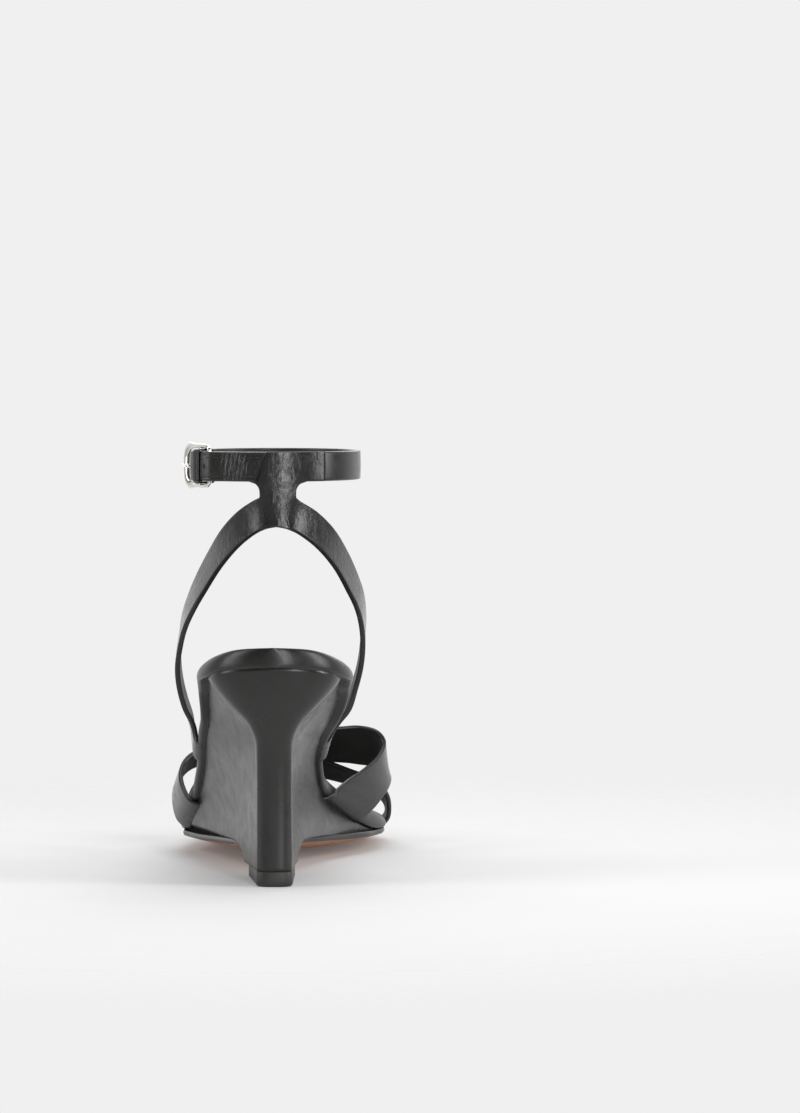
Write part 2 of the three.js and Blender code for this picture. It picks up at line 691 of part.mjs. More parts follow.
// ---------------------------------------------------------------- buckle

// Local frame at the buckle bar: along the strap towards the toe, outwards and up.
const barAt = onRing(BAR_ANGLE, FRAME_OFF, BAND_MID);
const alongBar = onRing(BAR_ANGLE + 1, FRAME_OFF, BAND_MID).sub(onRing(BAR_ANGLE - 1, FRAME_OFF, BAND_MID)).normalize();
const outBar = V(0, 0, 1).cross(alongBar).multiplyScalar(-1).normalize();
if (outBar.dot(onRing(BAR_ANGLE, 9, BAND_MID).sub(barAt)) < 0) outBar.negate();

const barPoint = (along, out, up) => barAt.clone()
  .addScaledVector(alongBar, along).addScaledVector(outBar, out).add(V(0, 0, up));

function boxAtBar(along, out, length, depth, tall) {
  const ring = (x) => [[-1, -1], [1, -1], [1, 1], [-1, 1]]
    .map(([a, b]) => barPoint(x, out + (a * depth) / 2, (b * tall) / 2));
  return loft([ring(along - length / 2), ring(along + length / 2)]);
}

// The flat frame reaches back behind the bar and forward to a wider bow.
const FRAME = { rear: -7, front: 11, tall: 17.3, wide: 0.85, bowWide: 1.5 };
const BAR_RADIUS = 0.8;

function buckleFrame() {
  const span = (FRAME.front - FRAME.rear) / 2;
  const mid = (FRAME.front + FRAME.rear) / 2;
  const across = FRAME.tall / 2 - FRAME.wide;
  const count = 32;
  const path = range(count).slice(0, -1).map((t) => {
    const a = 2 * Math.PI * t;
    const corner = Math.cos(a) < 0 ? 0.25 : 0.55;
    const flat = (v) => Math.sign(v) * Math.abs(v) ** corner;
    return [mid + span * flat(Math.cos(a)), across * flat(Math.sin(a))];
  });
  const rings = path.map(([along, up], i) => {
    const before = path[(i + count - 1) % count];
    const after = path[(i + 1) % count];
    const way = barPoint(after[0], 0, after[1]).sub(barPoint(before[0], 0, before[1])).normalize();
    const side = way.clone().cross(outBar).normalize();
    const wide = FRAME.wide + (FRAME.bowWide - FRAME.wide) * THREE.MathUtils.smoothstep(along, 3, 10.5);
    return range(10).slice(0, -1).map((s) => {
      const b = 2 * Math.PI * s;
      return barPoint(along, 0.8 * Math.sin(b), up).addScaledVector(side, wide * Math.cos(b));
    });
  });
  return cut(loopLoft(rings), bar(0.15));
}

function bar(extra) {
  const reach = FRAME.tall / 2 - 0.5;
  return rod(barPoint(0, 0, -reach - extra), barPoint(0, 0, reach + extra), BAR_RADIUS + extra, 16);
}

// Folded leather tab round the bar, slotted for the prong.
function buckleTab() {
  const inner = BAR_RADIUS + 0.3;
  const outer = inner + 0.8;
  const end = onRing(ARM_END + 0.5, -0.9, 0).sub(barPoint(0, 0, 0)).dot(alongBar);
  const outline = new THREE.Shape();
  outline.moveTo(end, -3.3);
  outline.lineTo(-0.4, -2.2);
  outline.absarc(0, 0, outer, -1.7, Math.PI * 0.8, false);
  outline.lineTo(-3, -0.6);
  outline.lineTo(end, -1.4);
  outline.closePath();
  const hole = new THREE.Path();
  hole.absarc(0, 0, inner, 0, 2 * Math.PI, true);
  outline.holes.push(hole);
  const tall = BAND_HIGH - BAND_LOW;
  const block = new THREE.ExtrudeGeometry(outline, { depth: tall, bevelEnabled: false, curveSegments: 14 });
  const place = new THREE.Matrix4().makeBasis(alongBar, outBar, V(0, 0, 1));
  const facing = place.determinant() < 0 ? -1 : 1;
  if (facing < 0) block.scale(1, 1, -1);
  const base = barPoint(0, 0, facing < 0 ? tall / 2 : -tall / 2);
  const placed = outward(mergeVertices(bareOf(block.applyMatrix4(place).translate(base.x, base.y, base.z)), 1e-4));
  return cut(placed, boxAtBar(0.3, 0.4, 6, 6.4, 2.5));
}

function bareOf(geometry) {
  const bare = new THREE.BufferGeometry();
  bare.setAttribute('position', geometry.attributes.position);
  if (geometry.index) bare.setIndex(geometry.index);
  return bare;
}

function prong() {
  const wire = 0.62;
  const eye = BAR_RADIUS + 0.25 + wire;
  const turn = range(18).slice(0, -1).map((t) => {
    const a = 2 * Math.PI * t;
    return range(10).slice(0, -1).map((s) => {
      const b = 2 * Math.PI * s;
      const reach = eye + wire * Math.cos(b);
      return barPoint(reach * Math.cos(a), reach * Math.sin(a), wire * Math.sin(b));
    });
  });
  const reach = FRAME.front;
  const fall = 0.8 + 0.3 + wire;
  const path = new THREE.CatmullRomCurve3([[0.6, 1.4], [1.2, 2.6], [2.4, 3.9], [4, 3.95], [7, 2.3],
    [reach - 1.5, fall + 0.35], [reach + 1, fall - 0.15]].map(([a, b]) => V(a, b, 0)), false, 'centripetal');
  const rings = range(22).map((t) => {
    const at = path.getPoint(t);
    const way = path.getTangent(t);
    const size = wire * (1.25 - 0.4 * t);
    return range(10).slice(0, -1).map((s) => {
      const b = 2 * Math.PI * s;
      const spread = size * Math.cos(b);
      return barPoint(at.x - way.y * spread, at.y + way.x * spread, size * 1.1 * Math.sin(b));
    });
  });
  return join(loopLoft(turn), loft(rings));
}

// Leather loop that holds the strap tail down on the sling arm.
const KEEPER = { from: 46.4, to: 51.7, low: -1.25, high: 6.6, skin: 0.7 };

function keeperBlock(from, to, extra) {
  const tall = (BAND_HIGH - BAND_LOW) / 2 + 0.25 + extra;
  const corners = [[KEEPER.low - extra, -tall], [KEEPER.high + extra, -tall], [KEEPER.high + extra, tall],
    [KEEPER.low - extra, tall]];
  return loft([from, to].map((angle) => corners.map(([off, up]) => onRing(angle, off, BAND_MID + up))));
}

function keeperLoop() {
  return cut(keeperBlock(KEEPER.from, KEEPER.to, KEEPER.skin), keeperBlock(KEEPER.from - 2, KEEPER.to + 2, 0));
}

// ---------------------------------------------------------------- assembly

const paint = (color, roughness, metalness = 0) => new THREE.MeshStandardMaterial({ color, roughness, metalness });
const leather = paint('#34342f', 0.42);
const lining = paint('#4a4844', 0.7);
const steel = paint('#b9b9b4', 0.3, 1);
const silver = paint('#d6d3cb', 0.12, 1);
const rubber = paint('#24241f', 0.6);
const tan = paint('#b9743f', 0.55);
const board = paint('#a58a68', 0.9);
const foam = paint('#d9cfa8', 0.95);
const plastic = paint('#c9c4b4', 0.6);
const cork = paint('#b98c58', 0.95);

const group = new THREE.Group();
const shoe = new THREE.Group();
shoe.position.y = -TIP_MIDDLE_Y;
group.add(shoe);

function add(name, geometry, material) {
  const mesh = new THREE.Mesh(geometry, material);
  mesh.name = name;
  shoe.add(mesh);
}

const tabs = { lateral: anchorTab(-1), medial: anchorTab(1) };
const roots = [...pockets, tabs.lateral.thick(-1.5, 1.4), tabs.medial.thick(-1.5, 1.4)];
const rivets = RIVET_Y.map((y) => shankRivet(y, 0.3));
const nails = NAILS.map((nail) => heelNail(nail, 0.3));
const pins = TIP_PINS.map((y) => tipPin(y, 0.3));

add('wedge_core', cut(wedgeCore(), ...roots, shank(0.3), ...rivets, ...nails, ...pins), plastic);
add('wedge_cover', cut(wedgeCover(), ...roots), leather);
add('heel_top_piece', cut(heelTopPiece(), ...pins), rubber);
add('outsole', cut(outsole(), ...roots), tan);
add('forefoot_filler', cut(forefootFiller(), ...roots), cork);
add('insole_board', cut(insoleBoard(), ...roots, ...rivets, ...nails), board);
add('footbed_foam', cut(footbedFoam(), ...roots), foam);
add('footbed_cover', cut(footbedCover(), ...roots), leather);
add('steel_shank', cut(shank(0), ...rivets), steel);
RIVET_Y.forEach((y, i) => add(`shank_rivet_${i + 1}`, shankRivet(y, 0), steel));
NAILS.forEach((nail, i) => add(`heel_nail_${i + 1}`, heelNail(nail, 0), steel));
TIP_PINS.forEach((y, i) => add(`tip_pin_${i + 1}`, tipPin(y, 0), steel));

for (const [letter, rails] of [['a', strapA], ['b', strapB]]) {
  add(`toe_strap_${letter}`, strapSheet(rails).thick(...LEATHER), leather);
  add(`toe_strap_${letter}_lining`, strapSheet(rails).thick(...LINING), lining);
}
for (const [name, sheet] of Object.entries(tabs)) {
  add(`sling_anchor_${name}`, sheet.thick(-1.1, 1.05), leather);
}

const sling = slingSheet();
add('heel_sling', sling.thick(0, 1.1), leather);
add('heel_sling_lining', sling.thick(-1.1, -GAP), lining);
add('ankle_strap', ankleStrap(0, 0.9), leather);
add('ankle_strap_lining', ankleStrap(-0.9, -GAP), lining);
add('strap_tail', strapTail(0, 0.9), leather);
add('strap_tail_lining', strapTail(-0.9, -GAP), lining);
add('buckle_tab', buckleTab(), leather);
add('keeper_loop', keeperLoop(), leather);
add('buckle_frame', buckleFrame(), silver);
add('buckle_bar', bar(0), steel);
add('buckle_prong', prong(), silver);

export default group;
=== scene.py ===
import math
import bmesh
import bpy
import numpy as np
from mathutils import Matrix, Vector


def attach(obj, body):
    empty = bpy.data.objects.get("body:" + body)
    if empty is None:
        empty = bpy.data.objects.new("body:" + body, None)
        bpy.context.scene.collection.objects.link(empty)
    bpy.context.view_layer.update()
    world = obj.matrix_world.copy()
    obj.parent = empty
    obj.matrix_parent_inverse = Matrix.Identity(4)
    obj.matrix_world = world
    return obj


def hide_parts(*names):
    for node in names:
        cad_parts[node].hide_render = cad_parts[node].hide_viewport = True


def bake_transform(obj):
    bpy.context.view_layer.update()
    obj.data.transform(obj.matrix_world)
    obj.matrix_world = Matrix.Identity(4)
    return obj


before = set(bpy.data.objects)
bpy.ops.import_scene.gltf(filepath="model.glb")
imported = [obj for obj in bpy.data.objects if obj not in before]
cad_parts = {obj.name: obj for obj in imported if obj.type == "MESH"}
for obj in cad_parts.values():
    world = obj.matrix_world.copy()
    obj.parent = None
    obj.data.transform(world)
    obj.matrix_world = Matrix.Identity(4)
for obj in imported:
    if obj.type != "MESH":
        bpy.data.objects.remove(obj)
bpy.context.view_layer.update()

MM = 0.001
TIP_MIDDLE_Y = 17.0          # drawn y of the frame's origin, in millimetres
CURVE_STEPS = 24             # points on each stretch of a curve


# ------------ numbers and curves

def smooth(*knots):
    """Smooth function through (position, value) knots, constant past both ends."""
    xs = np.array([k[0] for k in knots], float)
    ys = np.array([k[1] for k in knots], float)
    low = np.maximum(np.arange(len(xs)) - 1, 0)
    high = np.minimum(np.arange(len(xs)) + 1, len(xs) - 1)
    slopes = (ys[high] - ys[low]) / (xs[high] - xs[low])

    def at(x):
        x = np.clip(np.asarray(x, float), xs[0], xs[-1])
        i = np.clip(np.searchsorted(xs, x, side="right") - 1, 0, len(xs) - 2)
        span = xs[i + 1] - xs[i]
        t = (x - xs[i]) / span
        rise = t * t * (3 - 2 * t)
        start = t * (1 - t) ** 2 * slopes[i] * span
        end = t * t * (t - 1) * slopes[i + 1] * span
        return ys[i] + (ys[i + 1] - ys[i]) * rise + start + end
    return at


def smoothstep(x, a, b):
    t = np.clip((np.asarray(x, float) - a) / (b - a), 0, 1)
    return t * t * (3 - 2 * t)


def catmull(points):
    """Fine line along a centripetal Catmull-Rom curve through the given points."""
    pts = [np.array(p, float) for p in points]
    pts = [2 * pts[0] - pts[1]] + pts + [2 * pts[-1] - pts[-2]]
    out = []
    for p0, p1, p2, p3 in zip(pts, pts[1:], pts[2:], pts[3:]):
        t0 = 0.0
        t1 = t0 + math.sqrt(np.linalg.norm(p1 - p0))
        t2 = t1 + math.sqrt(np.linalg.norm(p2 - p1))
        t3 = t2 + math.sqrt(np.linalg.norm(p3 - p2))
        for t in np.linspace(t1, t2, CURVE_STEPS, endpoint=False):
            a1 = (t1 - t) / (t1 - t0) * p0 + (t - t0) / (t1 - t0) * p1
            a2 = (t2 - t) / (t2 - t1) * p1 + (t - t1) / (t2 - t1) * p2
            a3 = (t3 - t) / (t3 - t2) * p2 + (t - t2) / (t3 - t2) * p3
            b1 = (t2 - t) / (t2 - t0) * a1 + (t - t0) / (t2 - t0) * a2
            b2 = (t3 - t) / (t3 - t1) * a2 + (t - t1) / (t3 - t1) * a3
            out.append((t2 - t) / (t2 - t1) * b1 + (t - t1) / (t2 - t1) * b2)
    out.append(pts[-2])
    return np.array(out)


def resample(line, count):
    """Evenly spaced points along a line."""
    steps = np.linalg.norm(np.diff(line, axis=0), axis=1)
    along = np.concatenate([[0], np.cumsum(steps)])
    at = np.linspace(0, along[-1], count)
    return np.stack([np.interp(at, along, line[:, k]) for k in range(3)], axis=1)


def unit(v):
    return v / np.maximum(np.linalg.norm(v, axis=-1, keepdims=True), 1e-12)


# ------------ meshes

def to_frame(points):
    """Drawn millimetres to metres in the CAD frame."""
    p = np.asarray(points, float).reshape(-1, 3)
    return (p - np.array([0, TIP_MIDDLE_Y, 0])) * MM


def make(name, points, faces, materials, face_materials=None):
    mesh = bpy.data.meshes.new(name)
    mesh.from_pydata([tuple(p) for p in to_frame(points)], [], [tuple(f) for f in faces])
    mesh.validate()
    for material in materials:
        mesh.materials.append(material)
    if face_materials is not None:
        mesh.polygons.foreach_set("material_index", face_materials)
    mesh.polygons.foreach_set("use_smooth", [True] * len(mesh.polygons))
    mesh.update()
    piece = bpy.data.objects.new(name, mesh)
    bpy.context.scene.collection.objects.link(piece)
    return piece


def grid_faces(rows, columns, around=False, loop=False):
    faces = []
    for i in range(rows if loop else rows - 1):
        for j in range(columns if around else columns - 1):
            a = i * columns + j
            b = i * columns + (j + 1) % columns
            c = ((i + 1) % rows) * columns + (j + 1) % columns
            d = ((i + 1) % rows) * columns + j
            faces.append((a, b, c, d))
    return faces


def closed_loft(rings):
    """Points and faces of a capped solid through rings of equal length."""
    rings = np.asarray(rings, float)
    rows, columns = rings.shape[:2]
    faces = grid_faces(rows, columns, around=True)
    faces.append(tuple(reversed(range(columns))))
    faces.append(tuple((rows - 1) * columns + j for j in range(columns)))
    return rings.reshape(-1, 3), faces


def recalculate(piece):
    """Gives every face of a piece the same side out, which is outwards on a closed one."""
    work = bmesh.new()
    work.from_mesh(piece.data)
    bmesh.ops.recalc_face_normals(work, faces=work.faces)
    work.to_mesh(piece.data)
    work.free()
    piece.data.update()
    return piece


def baked(piece):
    """Applies the modifiers of a piece to its mesh."""
    depsgraph = bpy.context.evaluated_depsgraph_get()
    mesh = bpy.data.meshes.new_from_object(piece.evaluated_get(depsgraph))
    piece.modifiers.clear()
    piece.data = mesh


# ------------ materials

def new_material(name, base, roughness, metallic=0.0):
    material = bpy.data.materials.new(name)
    material.use_nodes = True
    shader = material.node_tree.nodes["Principled BSDF"]
    shader.inputs["Base Color"].default_value = (*base, 1)
    shader.inputs["Roughness"].default_value = roughness
    shader.inputs["Metallic"].default_value = metallic
    return material, shader


NOISE_LOW = 0.3              # noise values that count as its lower and upper ends
NOISE_HIGH = 0.7


class Nodes:
    """Short way to add nodes to a material, with object coordinates as the texture space."""

    def __init__(self, material, shader):
        self.tree = material.node_tree
        self.shader = shader
        self.space = self.tree.nodes.new("ShaderNodeTexCoord").outputs["Object"]

    def stretched(self, scale):
        mapping = self.tree.nodes.new("ShaderNodeMapping")
        mapping.inputs["Scale"].default_value = scale
        self.tree.links.new(self.space, mapping.inputs["Vector"])
        return mapping.outputs["Vector"]

    def noise(self, scale, detail=2.0, roughness=0.5, space=None, distortion=0.0):
        node = self.tree.nodes.new("ShaderNodeTexNoise")
        node.inputs["Scale"].default_value = scale
        node.inputs["Detail"].default_value = detail
        node.inputs["Roughness"].default_value = roughness
        node.inputs["Distortion"].default_value = distortion
        self.tree.links.new(space or self.space, node.inputs["Vector"])
        return node.outputs["Fac"]

    def cells(self, scale, feature="F1", space=None):
        node = self.tree.nodes.new("ShaderNodeTexVoronoi")
        node.feature = feature
        node.inputs["Scale"].default_value = scale
        self.tree.links.new(space or self.space, node.inputs["Vector"])
        return node.outputs["Distance"]

    def math(self, operation, a, b):
        node = self.tree.nodes.new("ShaderNodeMath")
        node.operation = operation
        for socket, value in zip(node.inputs, (a, b)):
            if isinstance(value, (int, float)):
                socket.default_value = value
            else:
                self.tree.links.new(value, socket)
        return node.outputs[0]

    def ramp(self, value, low, high, from_low=NOISE_LOW, from_high=NOISE_HIGH):
        node = self.tree.nodes.new("ShaderNodeMapRange")
        numbers = {"From Min": from_low, "From Max": from_high, "To Min": low, "To Max": high}
        for name, number in numbers.items():
            node.inputs[name].default_value = number
        self.tree.links.new(value, node.inputs["Value"])
        return node.outputs["Result"]

    def colour(self, value, low, high):
        node = self.tree.nodes.new("ShaderNodeValToRGB")
        node.color_ramp.elements[0].position = NOISE_LOW
        node.color_ramp.elements[0].color = (*low, 1)
        node.color_ramp.elements[1].position = NOISE_HIGH
        node.color_ramp.elements[1].color = (*high, 1)
        self.tree.links.new(value, node.inputs["Fac"])
        self.tree.links.new(node.outputs["Color"], self.shader.inputs["Base Color"])

    def rough(self, value):
        self.tree.links.new(value, self.shader.inputs["Roughness"])

    def bump(self, height, distance):
        node = self.tree.nodes.new("ShaderNodeBump")
        node.inputs["Distance"].default_value = distance
        self.tree.links.new(height, node.inputs["Height"])
        self.tree.links.new(node.outputs["Normal"], self.shader.inputs["Normal"])


def leather(name, base, roughness, grain, grain_size, crease=0.0, crease_scale=(1, 1, 1)):
    """Nappa: fine grain, faint tone and gloss variation, and optional creases. Relief is in millimetres."""
    material, shader = new_material(name, base, roughness)
    shader.inputs["Specular IOR Level"].default_value = 0.5
    nodes = Nodes(material, shader)
    nodes.colour(nodes.noise(60, 3), [c * 0.85 for c in base], [c * 1.15 for c in base])
    nodes.rough(nodes.ramp(nodes.noise(160, 3), roughness - 0.05, roughness + 0.06))
    pebble = nodes.math("MULTIPLY", nodes.cells(grain_size), grain)
    pores = nodes.math("MULTIPLY", nodes.noise(grain_size * 2.3, 2), grain * 0.7)
    height = nodes.math("ADD", pebble, pores)
    if crease:
        space = nodes.stretched(crease_scale)
        folds = nodes.noise(230, 5, 0.62, space, 1.4)
        veins = nodes.ramp(nodes.cells(380, "DISTANCE_TO_EDGE", space), 0, 1, 0.0, 0.3)
        height = nodes.math("ADD", height, nodes.math("MULTIPLY", folds, crease))
        height = nodes.math("ADD", height, nodes.math("MULTIPLY", veins, crease * 0.12))
    nodes.bump(height, MM)
    return material


def edge_paint():
    material, shader = new_material("edge_paint", (0.012, 0.012, 0.012), 0.34)
    nodes = Nodes(material, shader)
    nodes.colour(nodes.noise(300, 2), (0.009, 0.009, 0.009), (0.016, 0.016, 0.015))
    nodes.bump(nodes.noise(900, 2), 0.00006)
    return material


def sole_tan():
    material, shader = new_material("sole_tan", (0.4, 0.17, 0.07), 0.4)
    nodes = Nodes(material, shader)
    nodes.colour(nodes.noise(90, 4, 0.6), (0.33, 0.135, 0.05), (0.45, 0.19, 0.075))
    nodes.rough(nodes.ramp(nodes.noise(150, 3), 0.34, 0.48))
    nodes.bump(nodes.noise(1400, 3), 0.00005)
    return material


def rubber():
    material, shader = new_material("tip_rubber", (0.02, 0.02, 0.019), 0.5)
    nodes = Nodes(material, shader)
    nodes.colour(nodes.noise(200, 2), (0.016, 0.016, 0.015), (0.026, 0.026, 0.024))
    nodes.bump(nodes.noise(2000, 2), 0.00004)
    return material


def polished_metal():
    material, shader = new_material("polished_silver", (0.72, 0.7, 0.66), 0.09, 1.0)
    nodes = Nodes(material, shader)
    nodes.colour(nodes.noise(120, 2), (0.68, 0.66, 0.62), (0.78, 0.76, 0.72))
    nodes.rough(nodes.ramp(nodes.noise(500, 3), 0.06, 0.14))
    nodes.bump(nodes.noise(2500, 1), 0.000006)
    return material


def plain(name, low, high, roughness, scale, depth, metallic=0.0):
    material, shader = new_material(name, low, roughness, metallic)
    nodes = Nodes(material, shader)
    nodes.colour(nodes.noise(scale, 4, 0.6), low, high)
    nodes.bump(nodes.noise(scale * 4, 3), depth)
    return material


BLACK = (0.011, 0.011, 0.0102)
WEDGE_LEATHER = leather("wedge_leather", BLACK, 0.31, 0.012, 1500)
RIM_LEATHER = leather("rim_leather", BLACK, 0.33, 0.014, 1300)
STRAP_LEATHER = leather("strap_leather", BLACK, 0.30, 0.016, 1300)
SLING_LEATHER = leather("sling_leather", (0.012, 0.012, 0.012), 0.24, 0.014, 1200, 0.22, (1, 1, 0.7))
TAIL_LEATHER = leather("tail_leather", BLACK, 0.32, 0.02, 1200, 0.12, (1.6, 1.6, 0.5))
LINING = leather("strap_lining", (0.018, 0.017, 0.016), 0.6, 0.03, 900)
SOCK = leather("footbed_sock", (0.02, 0.02, 0.019), 0.42, 0.03, 800)
EDGE = edge_paint()
TAN = sole_tan()
RUBBER = rubber()
SILVER = polished_metal()
THREAD = plain("thread", (0.012, 0.012, 0.012), (0.03, 0.03, 0.03), 0.55, 900, 0.0001)
STEEL = plain("plain_steel", (0.42, 0.42, 0.41), (0.55, 0.55, 0.54), 0.32, 300, 0.00002, 1.0)
CORK = plain("cork", (0.3, 0.17, 0.07), (0.55, 0.36, 0.18), 0.95, 500, 0.0002)
PLASTIC = plain("moulded_plastic", (0.6, 0.57, 0.48), (0.7, 0.66, 0.57), 0.5, 200, 0.00003)


# ------------ footbed

HEEL_CENTRE_Y = 17
HEEL_RADIUS_Y = 31
TOE_START_Y = 166
TOE_DEPTH = 46
OVERHANG = 2.3               # of the footbed over the front of the wedge
RIM_ROUND = 4.2              # radius of the rim's upper edge
RIM_UNDER = 1.6              # radius of its lower edge
WRAP_THICK = 0.6             # leather under the board
HOLLOW = 0.3                 # depth of the footbed's middle under its edges

centre_x = smooth((17, 0), (40, -1.5), (60, -6), (78, -7.8), (100, -7.9), (125, -3.2), (142, 0.2), (165, 2.8),
                  (190, 6.5), (212, 8.5))
half_width = smooth((17, 30.7), (35, 29.8), (50, 27.2), (68, 25.6), (80, 25.6), (100, 28.6), (125, 38.6),
                    (142, 42.2), (158, 40.8), (165, 40), (190, 37), (212, 34))
top_z = smooth((-14, 94.3), (-8, 93.2), (0, 90.4), (10, 86.9), (22, 83.5), (50, 66.5), (75, 50), (100, 34),
               (125, 20.5), (150, 13.5), (175, 11.5), (200, 12.3), (213, 14.2))
bottom_z = smooth((-14, 87.2), (2, 82.8), (30, 75), (47, 60.5), (60, 52), (75, 42), (93, 29.5), (112, 18),
                  (122, 13), (133, 9.8), (150, 8.9), (175, 7.3), (200, 7.8), (213, 9.6))


def end_round(y, inset):
    heel = (HEEL_CENTRE_Y - y) / (HEEL_RADIUS_Y - inset)
    toe = np.maximum(y - TOE_START_Y, 0) / (TOE_DEPTH - inset)
    rounded = np.maximum(1 - np.minimum(toe, 1) ** 2.2, 0) ** (1 / 2.2)
    return np.where(y < HEEL_CENTRE_Y, np.sqrt(np.maximum(1 - heel * heel, 0)), rounded)


def half(y, inset):
    y = np.asarray(y, float)
    return (half_width(y) - inset) * end_round(y, inset)


def footbed():
    """Padded leather footbed: a soft top with a rolled rim, closed underneath by the wrap."""
    start = HEEL_CENTRE_Y - HEEL_RADIUS_Y + 0.0006
    end = TOE_START_Y + TOE_DEPTH - 0.002
    t = np.linspace(0, 1, 260)
    ys = start + (end - start) * (1 - np.cos(math.pi * t)) / 2
    rings = []
    for y in ys:
        w = float(half(y, 0))
        c = float(centre_x(y))
        high = float(top_z(y))
        low = float(bottom_z(y)) - WRAP_THICK
        upper = min(RIM_ROUND, w * 0.9)
        lower = min(RIM_UNDER, w * 0.4)
        middle = low + RIM_UNDER
        side = [(w - upper + upper * math.cos(a), middle + (high - middle) * math.sin(a))
                for a in np.linspace(math.pi / 2, 0, 12)]
        side += [(w - lower + lower * math.cos(a), middle + RIM_UNDER * math.sin(a))
                 for a in np.linspace(0, -math.pi / 2, 8)[1:]]
        inner = [((w - upper) * s, high - HOLLOW * (1 - s * s)) for s in np.linspace(0, 0.96, 20)]
        right = inner + side + [(w * 0.4, low), (0, low)]
        left = [(-x, z) for x, z in reversed(right[1:-1])]
        rings.append([(c + x, y, z) for x, z in right + left])
    points, faces = closed_loft(rings)
    piece = make("padded_footbed", points, faces, [RIM_LEATHER, SOCK])
    recalculate(piece)
    for face in piece.data.polygons:
        c = face.center / MM
        y = c.y + TIP_MIDDLE_Y
        w = float(half(y, 0))
        on_top = face.normal.z > 0.3 and abs(c.x - float(centre_x(y))) < w - RIM_ROUND
        face.material_index = 1 if on_top else 0
    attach(piece, "sole_unit")
    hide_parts("footbed_cover", "footbed_foam", "insole_board")


# ------------ outsole

SOLE_START_Y = 35.4
SOLE_THICK = 2.2
PAINTED = 1.0                # width of the painted border under the sole
sole_left = smooth((35, -11.2), (50, -16.7), (75, -24.5), (115, -36.5), (132, -41.3))
sole_right = smooth((35, 7.2), (60, 7.4), (72, 10.5), (85, 16.5), (105, 26.5), (125, 36.6), (140, 41))
sole_edge_z = smooth((34, 6.4), (40, 9), (50, 11.4), (62, 10.6), (75, 9.8), (105, 7.8), (132, 6.6),
                     (150, 6.2), (175, 4.6), (200, 5.2), (213, 6.8))
sole_middle_z = smooth((34, 6.4), (40, 8.4), (50, 10), (62, 8.6), (75, 7.2), (100, 4.2), (125, 1.6),
                       (148, 0.3), (162, 0), (176, 0.4), (195, 2.6), (213, 6.2))


def sole_sides(y, inset):
    blend = smoothstep(y, 122, 142)
    left = (sole_left(y) + inset) * (1 - blend) + (centre_x(y) - half(y, inset + 0.6)) * blend
    right = (sole_right(y) - inset) * (1 - blend) + (centre_x(y) + half(y, inset + 0.6)) * blend
    return left, right


def sole_z(x, y):
    left, right = sole_sides(y, 0)
    t = np.minimum(np.abs((2 * x - left - right) / (right - left)), 1)
    return sole_middle_z(y) + (sole_edge_z(y) - sole_middle_z(y)) * t ** 2.2


def sole_thick(y):
    """Thickness of the sole, skived towards the heel."""
    return SOLE_THICK * (0.35 + 0.65 * float(smoothstep(y, 37, 64)))


def outsole():
    """Thin leather sole with painted edges and a tan underside."""
    end = TOE_START_Y + TOE_DEPTH - 0.7
    ball = 150
    toe = ball + (end - ball) * np.sin(np.linspace(0, 1, 60) * math.pi / 2)
    ys = np.concatenate([np.linspace(SOLE_START_Y, ball, 110)[:-1], toe])
    rings = []
    for y in ys:
        left, right = (float(v) for v in sole_sides(y, 0))
        thick = sole_thick(y)
        edge = thick / 2
        share = (1 - np.cos(np.linspace(0, 1, 30) * math.pi)) / 2
        across = left + edge * 0.6 + (right - left - 1.2 * edge) * share
        under = [(x, y, float(sole_z(x, y))) for x in across]
        over = [(x, y, z + thick) for x, _, z in under[::-1]]
        rim = float(sole_z(right, y)) + edge
        turn = np.linspace(-1.2, 1.2, 6)
        right_edge = [(right - edge * 0.6 * (1 - math.cos(a)), y, rim + edge * math.sin(a)) for a in turn]
        rim = float(sole_z(left, y)) + edge
        left_edge = [(left + edge * 0.6 * (1 - math.cos(a)), y, rim + edge * math.sin(a)) for a in -turn]
        rings.append(under + right_edge + over + left_edge)
    points, faces = closed_loft(rings)
    piece = recalculate(make("leather_outsole", points, faces, [EDGE, TAN]))
    for face in piece.data.polygons:
        c = face.center / MM
        y = c.y + TIP_MIDDLE_Y
        left, right = (float(v) for v in sole_sides(y, 0))
        inside = left + PAINTED < c.x < right - PAINTED and y < end - PAINTED
        face.material_index = 1 if face.normal.z < -0.3 and inside else 0
    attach(piece, "sole_unit")
    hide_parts("outsole")


# ------------ wedge

TIP_TALL = 6
TIP_FRONT_Y = 34.8
WEDGE_FRONT_Y = 133.7
WEDGE_SKIN = 0.8
BACK_ROUND = 0.75            # 1 makes the back an ellipse, less makes its corners fuller
back_half = smooth((0, 7.1), (55, 7.2), (60, 8.5), (65, 11.5), (70, 16.5), (75, 21.5), (80, 25.5), (87, 28.2))
back_depth = smooth((0, 5), (50, 5.2), (60, 7), (70, 12), (78, 20), (87, 28))
back_y = smooth((0, 0), (30, -0.4), (50, -2), (62, -5), (74, -9), (87, -11.7))
front_y = smooth((0, 136), (9.8, 133), (13, 122), (18, 112), (29.5, 93), (42, 75), (52, 60), (60.5, 47),
                 (75, 34), (90, 34))


